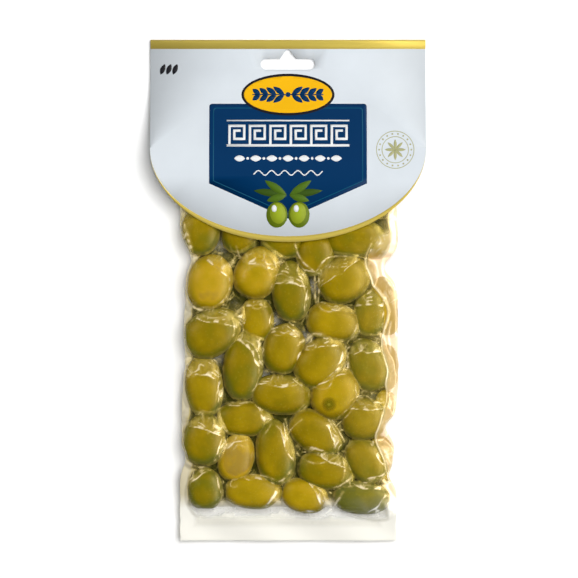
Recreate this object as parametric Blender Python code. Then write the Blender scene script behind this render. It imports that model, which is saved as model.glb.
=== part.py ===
"""A clear vacuum pouch of green olives under a folded hanging card.

The pack lies on its back with the printed side up. X runs across it, Y runs along it with the
card's fold at +Y, and Z is up from the table. The origin is under the middle of the pack.
"""

import math
from collections import namedtuple

import bmesh
import bpy
import numpy as np
from mathutils import Vector

MM = 0.001

# The whole pack, along Y from the card's fold to the pouch's cut lower edge.
PACK_LENGTH = 218.3 * MM
TOP_Y = PACK_LENGTH / 2
BOTTOM_Y = -PACK_LENGTH / 2

# The hanging card: one board folded at the top, straight sides, and a half-ellipse below. Its
# front panel lifts over the olives between two distances below the fold. Sheets and cutters are
# made SPARE larger than the shape that they leave.
CARD_WIDTH = 120.0 * MM
CARD_SIDE = 47.4 * MM
CARD_DROP = 40.9 * MM
BOARD = 0.5 * MM
FOLD_GAP = 1.3 * MM
FOLD_RADIUS = BOARD + FOLD_GAP / 2
CARD_LIFT = 14.6 * MM
LIFT_START = 15.0 * MM
LIFT_END = 58.0 * MM
SPARE = 2.0 * MM
CUTTER_HEIGHT = 60.0 * MM

# The hang hole: a bar with round ends and a small rounded peak over its middle.
BAR_HALF = 11.9 * MM
BAR_HEIGHT = 4.8 * MM
BAR_TOP = 8.2 * MM
PEAK_HALF = 3.5 * MM
PEAK_HEIGHT = 3.9 * MM
PEAK_RADIUS = 1.6 * MM

# The pouch: two films welded round the edge, drawn tight over the olives.
POUCH_HALF = 47.2 * MM
POUCH_TOP_Y = TOP_Y - 17.5 * MM
WELD = 0.5 * MM
WELD_Z = 7.4 * MM
WELD_RISE_END = 44.0 * MM
WELD_DROOP = 2.4 * MM
DROOP_LENGTH = 20.0 * MM
WELD_WAVE = 0.7 * MM
WAVE_LENGTH = 31.0 * MM
WAVE_SLANT = 0.8
WAVE_START = 90.0 * MM
WAVE_FULL = 115.0 * MM
COLUMNS = 38
ROWS = 76

# Inside the card the films keep clear of both panels, also a little beyond the card's outline.
CLEAR = 0.35 * MM
COVER_MARGIN = 4.0 * MM

# How the film leaves an olive: it touches as far out as TOUCH of the radius, then runs straight,
# and BLEND rounds the valley where it meets the film of the next olive.
TOUCH = 0.78
BACK_TOUCH = 0.7
REST_SINK = 0.93
BLEND = 0.7 * MM

# Places where the welded edge is drawn in between two olives: side, up, depth and reach.
Notch = namedtuple("Notch", "side up depth reach")
NOTCHES = (
    Notch(-1, 13, 4.6, 8.5),
    Notch(-1, -74, 1.8, 4.0),
    Notch(1, 9, 4.4, 5.5),
    Notch(1, -61, 3.4, 8.0),
    Notch(1, -83, 2.6, 7.0),
)

# Every olive: its middle across and up the pack, length, width, turn of its long axis in degrees,
# and how far it sits below its neighbours. Lengths are in millimetres. They go in rows, top down,
# and the first two rows lie under the card.
Olive = namedtuple("Olive", "across up length width turn sunk")
OLIVES = (
    Olive(-31, 60, 19, 14, 80, 0),
    Olive(-11, 61, 19, 13, 10, 0),
    Olive(11, 60, 20, 14, -15, 0),
    Olive(31, 61, 19, 13, 95, 0),
    Olive(-37, 43, 20, 15, 100, 0),
    Olive(-19, 44, 21, 15, 35, 0),
    Olive(1, 41, 21, 15, -20, 0),
    Olive(20, 42, 20, 15, 60, 0),
    Olive(38, 42, 20, 14, 90, 0),
    Olive(-38, 26, 20, 16, 80, 0),
    Olive(-21, 26, 19, 15, 90, 1),
    Olive(-2, 22, 20, 15, 0, 1),
    Olive(12, 16, 19, 16, 90, 0),
    Olive(30, 23, 25, 16, 5, 0),
    Olive(-13.5, 8, 22, 18, 65, 0),
    Olive(-34, 3.5, 22.5, 18.5, 77, 0),
    Olive(1.5, -0.5, 24.5, 16, 95, 0),
    Olive(24, 5, 22, 19, 30, 0),
    Olive(42, -5.5, 22, 12, 95, 1),
    Olive(36, -10, 19, 13, 88, 0),
    Olive(-33, -18, 24.5, 19, 30, 0),
    Olive(-13.5, -12.5, 18.5, 14, 95, 0),
    Olive(19.5, -13.5, 22, 16.5, -10, 0),
    Olive(-2, -25.5, 20.5, 17, 75, 0),
    Olive(-19.5, -33, 28, 16.5, 85, 0),
    Olive(14, -31, 23.5, 18.5, 45, 0),
    Olive(35, -32.5, 22, 16.5, 110, 0),
    Olive(43, -33, 19, 10.5, 90, 1),
    Olive(-36.5, -42, 25, 15.5, 95, 0),
    Olive(-3, -45, 24.5, 16.5, -5, 0),
    Olive(20.5, -44.5, 22, 19, 60, 0),
    Olive(33, -55.5, 18.5, 17.5, 0, 0),
    Olive(43, -52, 15, 10, 90, 1),
    Olive(-19.5, -55.5, 23, 14.5, 0, 0),
    Olive(-36.5, -65, 21, 17.5, 85, 0),
    Olive(-22.5, -72.5, 20, 14.5, 75, 0),
    Olive(-5.5, -70.5, 27, 16, 97, 0),
    Olive(12, -61.5, 23.5, 16.5, -35, 0),
    Olive(16.5, -78, 23.5, 15.5, -10, 0),
    Olive(34, -74, 20, 15.5, 125, 0),
    Olive(42, -71, 19, 10.5, 110, 1),
    Olive(-36, -87, 18.5, 14.5, 90, 0),
    Olive(-15.5, -88, 23, 15.5, -3, 0),
    Olive(7, -89.5, 19, 14.5, -15, 0),
    Olive(32, -90.5, 23.5, 14.5, -5, 0),
)


def clear_scene():
    """Empties the scene, so that only this pack is left in it."""
    for obj in list(bpy.data.objects):
        bpy.data.objects.remove(obj, do_unlink=True)


def smooth_step(value, start, end):
    """0 before start and 1 after end, with a soft S between them."""
    t = np.clip((value - start) / (end - start), 0.0, 1.0)
    return t * t * (3.0 - 2.0 * t)


def material(name, colour, roughness, alpha=1.0):
    """A plain Principled finish."""
    made = bpy.data.materials.new(name)
    made.use_nodes = True
    shader = made.node_tree.nodes["Principled BSDF"]
    shader.inputs["Base Color"].default_value = (*colour, 1.0)
    shader.inputs["Roughness"].default_value = roughness
    shader.inputs["Metallic"].default_value = 0.0
    shader.inputs["Alpha"].default_value = alpha
    return made


def object_from(mesh_edit, name, finish=None):
    """Turns a bmesh into a named object in the scene."""
    bmesh.ops.recalc_face_normals(mesh_edit, faces=mesh_edit.faces)
    mesh = bpy.data.meshes.new(name)
    mesh_edit.to_mesh(mesh)
    mesh_edit.free()
    if finish:
        mesh.materials.append(finish)
    obj = bpy.data.objects.new(name, mesh)
    bpy.context.scene.collection.objects.link(obj)
    return obj


def prism(outline, push):
    """A closed solid: a flat outline of points pushed straight along a vector."""
    solid = bmesh.new()
    face = solid.faces.new([solid.verts.new(point) for point in outline])
    pushed = bmesh.ops.extrude_face_region(solid, geom=[face])["geom"]
    moved = [item for item in pushed if isinstance(item, bmesh.types.BMVert)]
    bmesh.ops.translate(solid, verts=moved, vec=push)
    return solid


def hide_cutter(cutter):
    """A cutter shapes another piece and isn't one itself."""
    cutter.hide_render = True
    cutter.display_type = "WIRE"
    return cutter


def add_boolean(obj, cutter, operation):
    """Cuts an object with a cutter, or keeps only what they share."""
    step = obj.modifiers.new(cutter.name, "BOOLEAN")
    step.operation = operation
    step.solver = "EXACT"
    step.object = cutter


def card_height(below_fold):
    """Height of the front panel's outer face at a distance below the fold's top edge."""
    return 2 * FOLD_RADIUS + CARD_LIFT * smooth_step(below_fold, LIFT_START, LIFT_END)


def card_profile():
    """The folded board seen from its side: back panel, round fold, and front panel over the olives."""
    fold_y = TOP_Y - FOLD_RADIUS
    end_y = TOP_Y - CARD_SIDE - CARD_DROP - SPARE
    turns = [math.pi * (i / 8 - 0.5) for i in range(9)]
    downs = np.linspace(LIFT_START, LIFT_END, 15)
    front = [(TOP_Y - down, float(card_height(down))) for down in downs]
    front.append((end_y, float(card_height(LIFT_END))))
    outer = [(fold_y + FOLD_RADIUS * math.cos(a), FOLD_RADIUS * (1 + math.sin(a))) for a in turns]
    bore = FOLD_RADIUS - BOARD
    inner = [(fold_y + bore * math.cos(a), FOLD_RADIUS + bore * math.sin(a)) for a in turns]
    under = [(y, z - BOARD) for y, z in front]
    return [(end_y, 0.0)] + outer + front + under[::-1] + inner[::-1] + [(end_y, BOARD)]


def card_outline():
    """The card from the front: straight sides and a half-ellipse. It runs past the fold."""
    side_y = TOP_Y - CARD_SIDE
    half = CARD_WIDTH / 2
    past = TOP_Y + SPARE
    turns = [math.pi * i / 56 for i in range(57)]
    curve = [(half * math.cos(a), side_y - CARD_DROP * math.sin(a)) for a in turns]
    return [(-half, past), (half, past)] + curve


def hang_hole_outline():
    """A bar with round ends, and a peak with a round top in the middle of its upper edge."""
    radius = BAR_HEIGHT / 2
    middle_y = TOP_Y - BAR_TOP - radius
    reach = BAR_HALF - radius
    peak_y = middle_y + radius + PEAK_HEIGHT - PEAK_RADIUS
    right = [math.pi * (i / 10 - 0.5) for i in range(11)]
    peak = [math.radians(20 + 140 * i / 8) for i in range(9)]
    points = [(reach + radius * math.cos(a), middle_y + radius * math.sin(a)) for a in right]
    points += [(PEAK_HALF, middle_y + radius)]
    points += [(PEAK_RADIUS * math.cos(a), peak_y + PEAK_RADIUS * math.sin(a)) for a in peak]
    points += [(-PEAK_HALF, middle_y + radius)]
    points += [(-reach - radius * math.cos(a), middle_y - radius * math.sin(a)) for a in right]
    return points


def make_card():
    """The folded board, cut to its outline and punched through both panels."""
    half = CARD_WIDTH / 2 + SPARE
    board = [Vector((-half, y, z)) for y, z in card_profile()]
    finish = material("card_board", (0.71, 0.76, 0.80), 0.45)
    card = object_from(prism(board, Vector((2 * half, 0, 0))), "header_card", finish)
    up = Vector((0, 0, CUTTER_HEIGHT))
    for name, outline, operation in (
        ("card_outline_cutter", card_outline(), "INTERSECT"),
        ("hang_hole_cutter", hang_hole_outline(), "DIFFERENCE"),
    ):
        flat = [Vector((x, y, -SPARE)) for x, y in outline]
        add_boolean(card, hide_cutter(object_from(prism(flat, up), name)), operation)
    return card


def weld_height(x, y):
    """Height of the middle of the welded edge, which drops into the card and droops at the bottom."""
    below_fold = TOP_Y - y
    out_of_card = smooth_step(below_fold, TOP_Y - POUCH_TOP_Y, WELD_RISE_END)
    height = FOLD_RADIUS + (WELD_Z - FOLD_RADIUS) * out_of_card
    droop = WELD_DROOP * smooth_step(below_fold, PACK_LENGTH - DROOP_LENGTH, PACK_LENGTH)
    loose = smooth_step(below_fold, WAVE_START, WAVE_FULL)
    wave = np.sin(2 * math.pi * (y + WAVE_SLANT * x) / WAVE_LENGTH)
    return height - droop + WELD_WAVE * loose * wave


def film_fall(radius, touch):
    """The film over one olive, as a share of its half thickness, at a share of its radius."""
    lift = math.sqrt(1 - touch * touch)
    dome = np.sqrt(np.clip(1 - radius * radius, 0.0, 1.0))
    return np.where(radius < touch, dome, lift - (touch / lift) * (radius - touch))


def olive_radius(olive, x, y):
    """Distance from an olive's middle, as a share of its own radius in that direction."""
    turn = math.radians(olive.turn)
    away_x = x - olive.across * MM
    away_y = y - olive.up * MM
    along = away_x * math.cos(turn) + away_y * math.sin(turn)
    beside = away_y * math.cos(turn) - away_x * math.sin(turn)
    return np.hypot(along / (olive.length * MM / 2), beside / (olive.width * MM / 2))


def under_card(x, y):
    """1 inside the card's outline and its margin, 0 from twice the margin outside it."""
    side_y = TOP_Y - CARD_SIDE
    down = np.maximum(side_y - y, 0.0)
    share = np.hypot(x / (CARD_WIDTH / 2), down / CARD_DROP)
    outside = (share - 1.0) * CARD_DROP
    return 1.0 - smooth_step(outside, COVER_MARGIN, 2 * COVER_MARGIN)


def soft_max(one, other):
    """The higher of two heights, rounded over where they cross."""
    return BLEND * np.logaddexp(one / BLEND, other / BLEND)


def film_heights(x, y):
    """Front and back film over every point: drawn over the olives, and together at the weld."""
    weld = weld_height(x, y)
    covered = under_card(x, y)
    floor = (BOARD + CLEAR) * covered
    front = weld + WELD / 2
    back = weld - WELD / 2
    for olive in OLIVES:
        half = olive.width * MM / 2
        middle = half * REST_SINK + floor
        radius = olive_radius(olive, x, y)
        front = soft_max(front, middle - olive.sunk * MM + half * film_fall(radius, TOUCH))
        back = -soft_max(-back, half * film_fall(radius, BACK_TOUCH) - middle)
    ceiling = card_height(TOP_Y - y) - BOARD - CLEAR
    front = np.where(covered > 0, np.minimum(front, ceiling), front)
    back = np.maximum(back, floor)
    return np.maximum(front, back + WELD), back


def edge_x(side, y):
    """Where the pouch's cut edge runs on one side, drawn in at each notch."""
    drawn = sum(
        notch.depth * MM * np.exp(-(((y - notch.up * MM) / (notch.reach * MM)) ** 2))
        for notch in NOTCHES
        if notch.side == side
    )
    return side * (POUCH_HALF - drawn)


def make_pouch():
    """The sealed pouch as one solid: a sheet of cells, its two faces moved out to the films."""
    sheet = bmesh.new()
    bmesh.ops.create_grid(sheet, x_segments=COLUMNS, y_segments=ROWS, size=1.0)
    lower = list(sheet.verts)
    pushed = bmesh.ops.extrude_face_region(sheet, geom=list(sheet.faces))["geom"]
    upper = [item for item in pushed if isinstance(item, bmesh.types.BMVert)]
    for verts, side in ((lower, 1), (upper, 0)):
        across = np.array([vert.co.x for vert in verts])
        along = np.array([vert.co.y for vert in verts])
        y = BOTTOM_Y + (POUCH_TOP_Y - BOTTOM_Y) * (along + 1) / 2
        left, right = edge_x(-1, y), edge_x(1, y)
        x = left + (right - left) * (across + 1) / 2
        z = film_heights(x, y)[side]
        for vert, place in zip(verts, np.stack((x, y, z), axis=1)):
            vert.co = place
    finish = material("olive_pouch", (0.42, 0.36, 0.05), 0.2)
    pouch = object_from(sheet, "pouch", finish)
    pouch.data.shade_smooth()
    return pouch


def main():
    clear_scene()
    make_pouch()
    make_card()


main()
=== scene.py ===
# %% [markdown]
# # A vacuum pouch of green olives under a hanging card
#
# A shop's pouch of whole olives is three things: a clear film drawn tight by the vacuum, the
# olives inside it, and a folded card that hangs it on a hook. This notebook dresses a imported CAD
# model with them. The model is only a frame. It says how large the pouch and the card are and
# where they lie, and every new piece here is made inside that room.

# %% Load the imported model
import math
from collections import namedtuple

import bmesh
import bpy
import numpy as np
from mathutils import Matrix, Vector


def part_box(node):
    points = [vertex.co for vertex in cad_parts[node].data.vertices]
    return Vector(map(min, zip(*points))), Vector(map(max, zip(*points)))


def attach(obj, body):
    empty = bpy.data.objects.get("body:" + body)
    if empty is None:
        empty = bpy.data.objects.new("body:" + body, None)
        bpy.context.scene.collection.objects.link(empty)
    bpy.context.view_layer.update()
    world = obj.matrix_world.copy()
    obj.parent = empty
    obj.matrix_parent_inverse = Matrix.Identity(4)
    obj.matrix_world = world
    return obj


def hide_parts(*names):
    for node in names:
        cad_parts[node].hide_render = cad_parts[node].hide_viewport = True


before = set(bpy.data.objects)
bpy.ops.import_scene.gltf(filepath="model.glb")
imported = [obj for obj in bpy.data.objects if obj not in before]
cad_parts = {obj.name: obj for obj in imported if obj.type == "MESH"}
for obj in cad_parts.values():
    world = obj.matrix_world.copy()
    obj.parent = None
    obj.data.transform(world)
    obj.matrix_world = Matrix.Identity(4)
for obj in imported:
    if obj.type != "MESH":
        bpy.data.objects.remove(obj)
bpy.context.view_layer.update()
print("solids in the frame:", sorted(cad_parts))

# %% [markdown]
# ## Sizes
#
# The pack lies on its back: X runs across it, Y runs up it to the card's fold, and Z points up out
# of the shown face. The frame gives the outer sizes, so they are read from it. The rest are the
# maker's own numbers, in millimetres, the same as those that the solids were built from.

# %% Name the sizes of the pack
MM = 0.001

card_low, card_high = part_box("header_card")
pouch_low, pouch_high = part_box("pouch")
TOP_Y = card_high.y
BOTTOM_Y = pouch_low.y
POUCH_TOP_Y = pouch_high.y
POUCH_HALF = pouch_high.x
CARD_HALF = card_high.x
CARD_LENGTH = card_high.y - card_low.y
CARD_SIDE = 47.4 * MM
CARD_DROP = CARD_LENGTH - CARD_SIDE
BOARD = 0.5 * MM
FOLD_RADIUS = 1.15 * MM
CARD_LIFT = 14.6 * MM
LIFT_START = 15.0 * MM
LIFT_END = 58.0 * MM
print(f"card {2 * CARD_HALF / MM:.1f} x {CARD_LENGTH / MM:.1f} mm")
print(f"pouch {2 * POUCH_HALF / MM:.1f} x {(POUCH_TOP_Y - BOTTOM_Y) / MM:.1f} mm")

# %% [markdown]
# ## The camera
#
# A pack shot is taken from far away with a long lens, so that nothing near the middle looks larger
# than the edges. The camera hangs three metres above the pack and looks straight down. The lens
# is worked out from the width that the picture has to cover.

# %% Hang the camera over the pack
CAMERA_HEIGHT = 3.0
PICTURE_WIDTH = 252.4 * MM
PICTURE_MIDDLE = (0.44 * MM, 0.42 * MM)
SENSOR = 36.0

camera_data = bpy.data.cameras.new("pack_camera")
camera_data.sensor_width = SENSOR
camera_data.lens = SENSOR * CAMERA_HEIGHT / PICTURE_WIDTH
camera = bpy.data.objects.new("pack_camera", camera_data)
camera.location = (*PICTURE_MIDDLE, CAMERA_HEIGHT)
bpy.context.scene.collection.objects.link(camera)
bpy.context.scene.camera = camera
print(f"lens {camera_data.lens:.0f} mm")

# %% [markdown]
# ## Helpers for mesh work
#
# A few small helpers do what every piece needs. They blend softly between two values, turn an
# edited bmesh into an object, tell the frame that the piece belongs to the pack, and read or write
# a mesh's vertices and masks as whole arrays, which is quicker than one vertex at a time.

# %% Make the shared helpers


def smooth_step(value, start, end):
    """0 before start and 1 after end, with a soft S between them."""
    t = np.clip((value - start) / (end - start), 0.0, 1.0)
    return t * t * (3.0 - 2.0 * t)


def object_from(edit, name, finish):
    """Turns a bmesh into an object with one finish."""
    mesh = bpy.data.meshes.new(name)
    edit.to_mesh(mesh)
    edit.free()
    mesh.materials.append(finish)
    made = bpy.data.objects.new(name, mesh)
    bpy.context.scene.collection.objects.link(made)
    return made


def belongs(piece):
    """The piece rides with the pack."""
    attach(piece, "root")
    print(f"{piece.name}: {len(piece.data.polygons)} faces")


def read_places(mesh):
    """The mesh's vertices as an array of rows of x, y and z."""
    places = np.empty(3 * len(mesh.vertices))
    mesh.vertices.foreach_get("co", places)
    return places.reshape(-1, 3)


def write_places(mesh, places):
    """Moves the mesh's vertices."""
    mesh.vertices.foreach_set("co", np.ascontiguousarray(places).ravel())
    mesh.update()


def write_mask(mesh, name, values):
    """Keeps one number for each vertex under a name that a material can read."""
    mask = mesh.attributes.new(name, "FLOAT", "POINT")
    mask.data.foreach_set("value", np.ascontiguousarray(values, dtype=np.float32))


print(f"a soft step is {smooth_step(0.25, 0.0, 1.0):.2f} a quarter of the way")

# %% [markdown]
# ## Helpers for materials
#
# A material here is a Principled shader with a few nodes in front of it. These helpers add a node
# and set its values in one line, so that a finish reads like a recipe.

# %% Make the node helpers


def new_finish(name, **sockets):
    """A material, its node tree, and its Principled shader with plain values set."""
    finish = bpy.data.materials.new(name)
    finish.use_nodes = True
    shader = finish.node_tree.nodes["Principled BSDF"]
    for socket, value in sockets.items():
        shader.inputs[socket.replace("_", " ")].default_value = value
    return finish, finish.node_tree, shader


def add_node(tree, kind, settings=(), **inputs):
    """A node with settings, and each input either linked to a socket or set to a value."""
    node = tree.nodes.new(kind)
    for name, value in dict(settings).items():
        setattr(node, name, value)
    for name, value in inputs.items():
        key = int(name[1:]) if name[1:].isdigit() else name.replace("_", " ")
        if isinstance(value, bpy.types.NodeSocket):
            tree.links.new(value, node.inputs[key])
        else:
            node.inputs[key].default_value = value
    return node


def maths(tree, operation, *values):
    """A Math node's result. Values are numbers or sockets."""
    inputs = {f"n{index}": value for index, value in enumerate(values)}
    return add_node(tree, "ShaderNodeMath", {"operation": operation}, **inputs).outputs[0]


def mask_socket(tree, name):
    """A number that the mesh keeps for each vertex."""
    node = add_node(tree, "ShaderNodeAttribute", {"attribute_name": name})
    return node.outputs["Fac"]


def object_place(tree):
    """Object coordinates, which stay on the piece when it is moved or exported."""
    return tree.nodes.new("ShaderNodeTexCoord").outputs["Object"]


def mix_colours(tree, factor, first, second):
    """A colour between two, by a factor."""
    node = tree.nodes.new("ShaderNodeMix")
    node.data_type = "RGBA"
    for socket, value in ((0, factor), (6, first), (7, second)):
        if isinstance(value, bpy.types.NodeSocket):
            tree.links.new(value, node.inputs[socket])
        else:
            node.inputs[socket].default_value = value
    return node.outputs[2]


print("the node helpers are ready")

# %% [markdown]
# ## The olives' places
#
# The olives lie in one layer, packed as closely as they go. Each row here is one olive: where its
# middle is, how long and how wide it is, which way its long axis points and how deep it has sunk.
# Ripeness tells a green olive from a golden one. The last two numbers are for the film: the
# direction in which it lets go of the olive, and how much of the olive it leaves there. The first
# nine are under the card, where nobody sees them, but the film has to lie on something. The sizes
# are in millimetres and the directions in degrees.

# %% List the olives
Olive = namedtuple("Olive", "across up length width turn sunk ripe lets_go loose")
OLIVES = (
    Olive(-31, 60, 19, 14, 80, 0, 0.5, 90, 0.4),
    Olive(-11, 61, 19, 13, 10, 0, 0.4, 90, 0.4),
    Olive(11, 60, 20, 14, -15, 0, 0.6, 90, 0.4),
    Olive(31, 61, 19, 13, 95, 0, 0.5, 90, 0.4),
    Olive(-37, 43, 20, 15, 100, 0, 0.5, 90, 0.4),
    Olive(-19, 44, 21, 15, 35, 0, 0.4, 90, 0.4),
    Olive(1, 41, 21, 15, -20, 0, 0.5, 90, 0.4),
    Olive(20, 42, 20, 15, 60, 0, 0.6, 90, 0.4),
    Olive(38, 42, 20, 14, 90, 0, 0.5, 90, 0.4),
    Olive(-38, 26, 20, 16, 80, 0, 0.4, 160, 0.5),
    Olive(-21, 26, 19, 15, 90, 1, 0.45, 0, 0.5),
    Olive(-2, 22, 20, 15, 0, 1, 0.3, 200, 0.2),
    Olive(12, 16, 19, 16, 90, 0, 0.45, 0, 0.3),
    Olive(29, 23, 24, 16, 5, 0, 0.4, 10, 0.6),
    Olive(-13.5, 8, 22, 18, 65, 0, 0.76, 75, 0.9),
    Olive(-34, 3.5, 22.5, 18.5, 77, 0, 0.86, 55, 0.5),
    Olive(1.5, -0.5, 24.5, 16, 95, 0, 0.36, 85, 0.9),
    Olive(24, 5, 22, 19, 30, 0, 0.56, 125, 0.95),
    Olive(42.2, -6.4, 24, 11.5, 99, 1, 0.8, 60, 1.0),
    Olive(35.5, -10, 19, 13.5, 88, 0, 0.38, 90, 0.75),
    Olive(-33, -18, 24.5, 19, 30, 0, 0.4, 75, 0.8),
    Olive(-13.5, -12.5, 18.5, 14, 95, 0, 0.5, 90, 0.45),
    Olive(19.5, -13.5, 22, 16.5, -10, 0, 0.6, 75, 0.55),
    Olive(-2, -25.5, 20.5, 17, 75, 0, 0.5, 80, 0.45),
    Olive(-19.5, -33, 28, 16.5, 85, 0, 0.34, 50, 0.6),
    Olive(14, -31, 23.5, 18.5, 45, 0, 0.56, 90, 0.55),
    Olive(35, -32.5, 22, 16.5, 110, 0, 0.36, 100, 0.6),
    Olive(43, -33, 18.5, 10, 92, 1, 0.8, 60, 1.0),
    Olive(-36.5, -42, 25, 15.5, 95, 0, 0.5, 90, 0.75),
    Olive(-3, -45, 24.5, 16.5, -5, 0, 0.5, 90, 0.85),
    Olive(20.5, -44.5, 22, 19, 60, 0, 0.7, 110, 0.55),
    Olive(33, -55.5, 18.5, 17.5, 0, 0, 0.5, 90, 0.75),
    Olive(42.8, -52, 16.5, 10, 95, 1, 0.8, 60, 1.0),
    Olive(-19.5, -55.5, 23, 14.5, 0, 0, 0.48, 110, 0.3),
    Olive(-36.5, -65, 21, 17.5, 85, 0, 0.38, 75, 0.75),
    Olive(-22.5, -72.5, 20, 14.5, 75, 0, 1.0, 110, 0.55),
    Olive(-5.5, -70.5, 27, 16, 97, 0, 0.43, 30, 0.6),
    Olive(12, -61.5, 23.5, 16.5, -35, 0, 0.52, 10, 0.6),
    Olive(16.5, -78, 23.5, 15.5, -10, 0, 0.42, 60, 0.7),
    Olive(34, -74, 20, 15.5, 125, 0, 0.4, 30, 0.5),
    Olive(41.6, -73, 19.5, 10, 105, 1, 0.8, 60, 1.0),
    Olive(-36, -86.2, 16.8, 14.3, 90, 0, 0.24, 120, 0.35),
    Olive(-15.5, -87.2, 23, 14.4, -3, 0, 0.64, 80, 0.45),
    Olive(7, -89, 19, 14, -15, 0, 0.68, 20, 0.6),
    Olive(32, -89.8, 23.5, 13.8, -5, 0, 0.0, 70, 0.6),
)
print(len(OLIVES), "olives")

# %% [markdown]
# ## How one olive curves
#
# An olive is nearly an ellipsoid, but it is a little fuller than one, and fuller at one end than at
# the other. Seen from above, the film has to follow the same shape. So both use one rule: how far
# out a point lies, as a share of the olive's own radius in that direction. A power above 2 in
# place of the circle's squares makes the fuller shape. Each olive also gets a small share of
# chance: how much its one end is fuller, and an angle that turns the film's pleats round it.

# %% Write the rule of the olive's shape
REST_SINK = 0.93
PLUMP = 1.07
SAG = 0.6 * MM
EGG = 0.08
FULLNESS = 2.25
NOWHERE = -1.0

Body = namedtuple("Body", "x y half_length half_width middle turn egg spin ripe lets_go loose")
luck = np.random.default_rng(45)


def olive_body(olive, floor):
    """An olive's sizes in metres, with its own small share of chance."""
    half = olive.width * MM / 2 * PLUMP
    return Body(
        olive.across * MM,
        olive.up * MM - SAG,
        olive.length * MM / 2 * PLUMP,
        half,
        olive.width * MM / 2 * REST_SINK + floor - olive.sunk * MM,
        math.radians(olive.turn),
        luck.uniform(-EGG, EGG),
        luck.uniform(0, 2 * math.pi),
        olive.ripe,
        math.radians(olive.lets_go),
        olive.loose,
    )


def olive_place(body, x, y):
    """A point seen from above, in the olive's own units along and beside its long axis."""
    away_x, away_y = x - body.x, y - body.y
    along = (away_x * math.cos(body.turn) + away_y * math.sin(body.turn)) / body.half_length
    beside = away_y * math.cos(body.turn) - away_x * math.sin(body.turn)
    fuller = 1.0 + body.egg * np.clip(along, -1.2, 1.2)
    return along, beside / (body.half_width * fuller)


def how_far_out(along, beside):
    """0 in the olive's middle and 1 on its outline."""
    return (np.abs(along) ** FULLNESS + np.abs(beside) ** FULLNESS) ** (1 / FULLNESS)


def dome(out):
    """How high the olive stands over a point, as a share of its half height."""
    return (1.0 - np.clip(out, 0.0, 1.0) ** FULLNESS) ** (1 / FULLNESS)


def skin_over(body, out):
    """The height of one olive's upper skin, and far below everything beside the olive."""
    return np.where(out < 1, body.middle + body.half_width / PLUMP * dome(out), NOWHERE)


print(f"half-way out, an olive still stands {dome(0.5):.2f} of its height")

# %% [markdown]
# ## The card's and the weld's heights
#
# The card's front panel starts a millimetre above the back one and lifts over the olives. The weld
# is the flat edge where the two films are sealed to each other. It dips into the card at the top,
# droops at the bottom, and waves a little in between.

# %% Write the heights of the card and the weld
WELD = 0.3 * MM
WELD_Z = 7.4 * MM
WELD_RISE_END = 44.0 * MM
WELD_DROOP = 2.4 * MM
DROOP_LENGTH = 20.0 * MM
WELD_WAVE = 0.7 * MM
WAVE_LENGTH = 31.0 * MM
WAVE_SLANT = 0.8
WAVE_START = 90.0 * MM
WAVE_FULL = 115.0 * MM
CLEAR = 0.35 * MM
COVER_MARGIN = 4.0 * MM
PACK_LENGTH = TOP_Y - BOTTOM_Y


def card_height(below_fold):
    """Height of the front panel's outer face at a distance below the fold's top edge."""
    return 2 * FOLD_RADIUS + CARD_LIFT * smooth_step(below_fold, LIFT_START, LIFT_END)


def weld_height(x, y):
    """Height of the middle of the welded edge."""
    below_fold = TOP_Y - y
    out_of_card = smooth_step(below_fold, TOP_Y - POUCH_TOP_Y, WELD_RISE_END)
    height = FOLD_RADIUS + (WELD_Z - FOLD_RADIUS) * out_of_card
    droop = WELD_DROOP * smooth_step(below_fold, PACK_LENGTH - DROOP_LENGTH, PACK_LENGTH)
    loose = smooth_step(below_fold, WAVE_START, WAVE_FULL)
    wave = np.sin(2 * math.pi * (y + WAVE_SLANT * x) / WAVE_LENGTH)
    return height - droop + WELD_WAVE * loose * wave


def under_card(x, y):
    """1 inside the card's outline and its margin, 0 from twice the margin outside it."""
    down = np.maximum(TOP_Y - CARD_SIDE - y, 0.0)
    outside = (np.hypot(x / CARD_HALF, down / CARD_DROP) - 1.0) * CARD_DROP
    return 1.0 - smooth_step(outside, COVER_MARGIN, 2 * COVER_MARGIN)


FLOOR_UNDER_CARD = BOARD + CLEAR
BODIES = []
for olive in OLIVES:
    covered = float(under_card(olive.across * MM, olive.up * MM))
    BODIES.append(olive_body(olive, FLOOR_UNDER_CARD * covered))
print(f"card lifts to {float(card_height(LIFT_END)) / MM:.1f} mm")

# %% [markdown]
# ## The film's chance
#
# Wrinkles are not a pattern. A sum of a dozen waves that run in different directions makes a smooth,
# even kind of chance, and folding it at zero turns it into sharp creases, as in crumpled foil.

# %% Write the smooth chance


def ripple(x, y, size, seed, waves=14):
    """Smooth chance over a plane, mostly between -1 and 1, with bumps about as wide as size."""
    draw = np.random.default_rng(seed)
    total = np.zeros_like(x)
    for _ in range(waves):
        heading, phase = draw.uniform(0, 2 * math.pi, 2)
        pitch = size * draw.uniform(0.7, 1.5)
        run = x * math.cos(heading) + y * math.sin(heading)
        total += np.sin(2 * math.pi * run / pitch + phase)
    return total / math.sqrt(waves / 2)


def crease(x, y, size, seed):
    """1 along sharp crooked lines and 0 between them."""
    return np.clip(1.0 - 2.2 * np.abs(ripple(x, y, size, seed)), 0.0, 1.0)


sample = ripple(np.linspace(0.0, 0.1, 400), np.zeros(400), 6 * MM, 2)
print(f"one ripple runs from {sample.min():.1f} to {sample.max():.1f}")

# %% [markdown]
# ## Drawing the film over the olives
#
# The vacuum presses the film on to each olive in a patch. A taut sheet lets go along nearly
# straight lines, so three straight edges cut the patch, one of them on the loose side. There the
# film kinks a little and runs on, ever steeper, to its neighbour or to the weld. The pouch was
# filled hanging up, so the loose side is mostly the upper one. CLING, LET_GO and the edges are
# shares of the olive's own radius.

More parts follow.
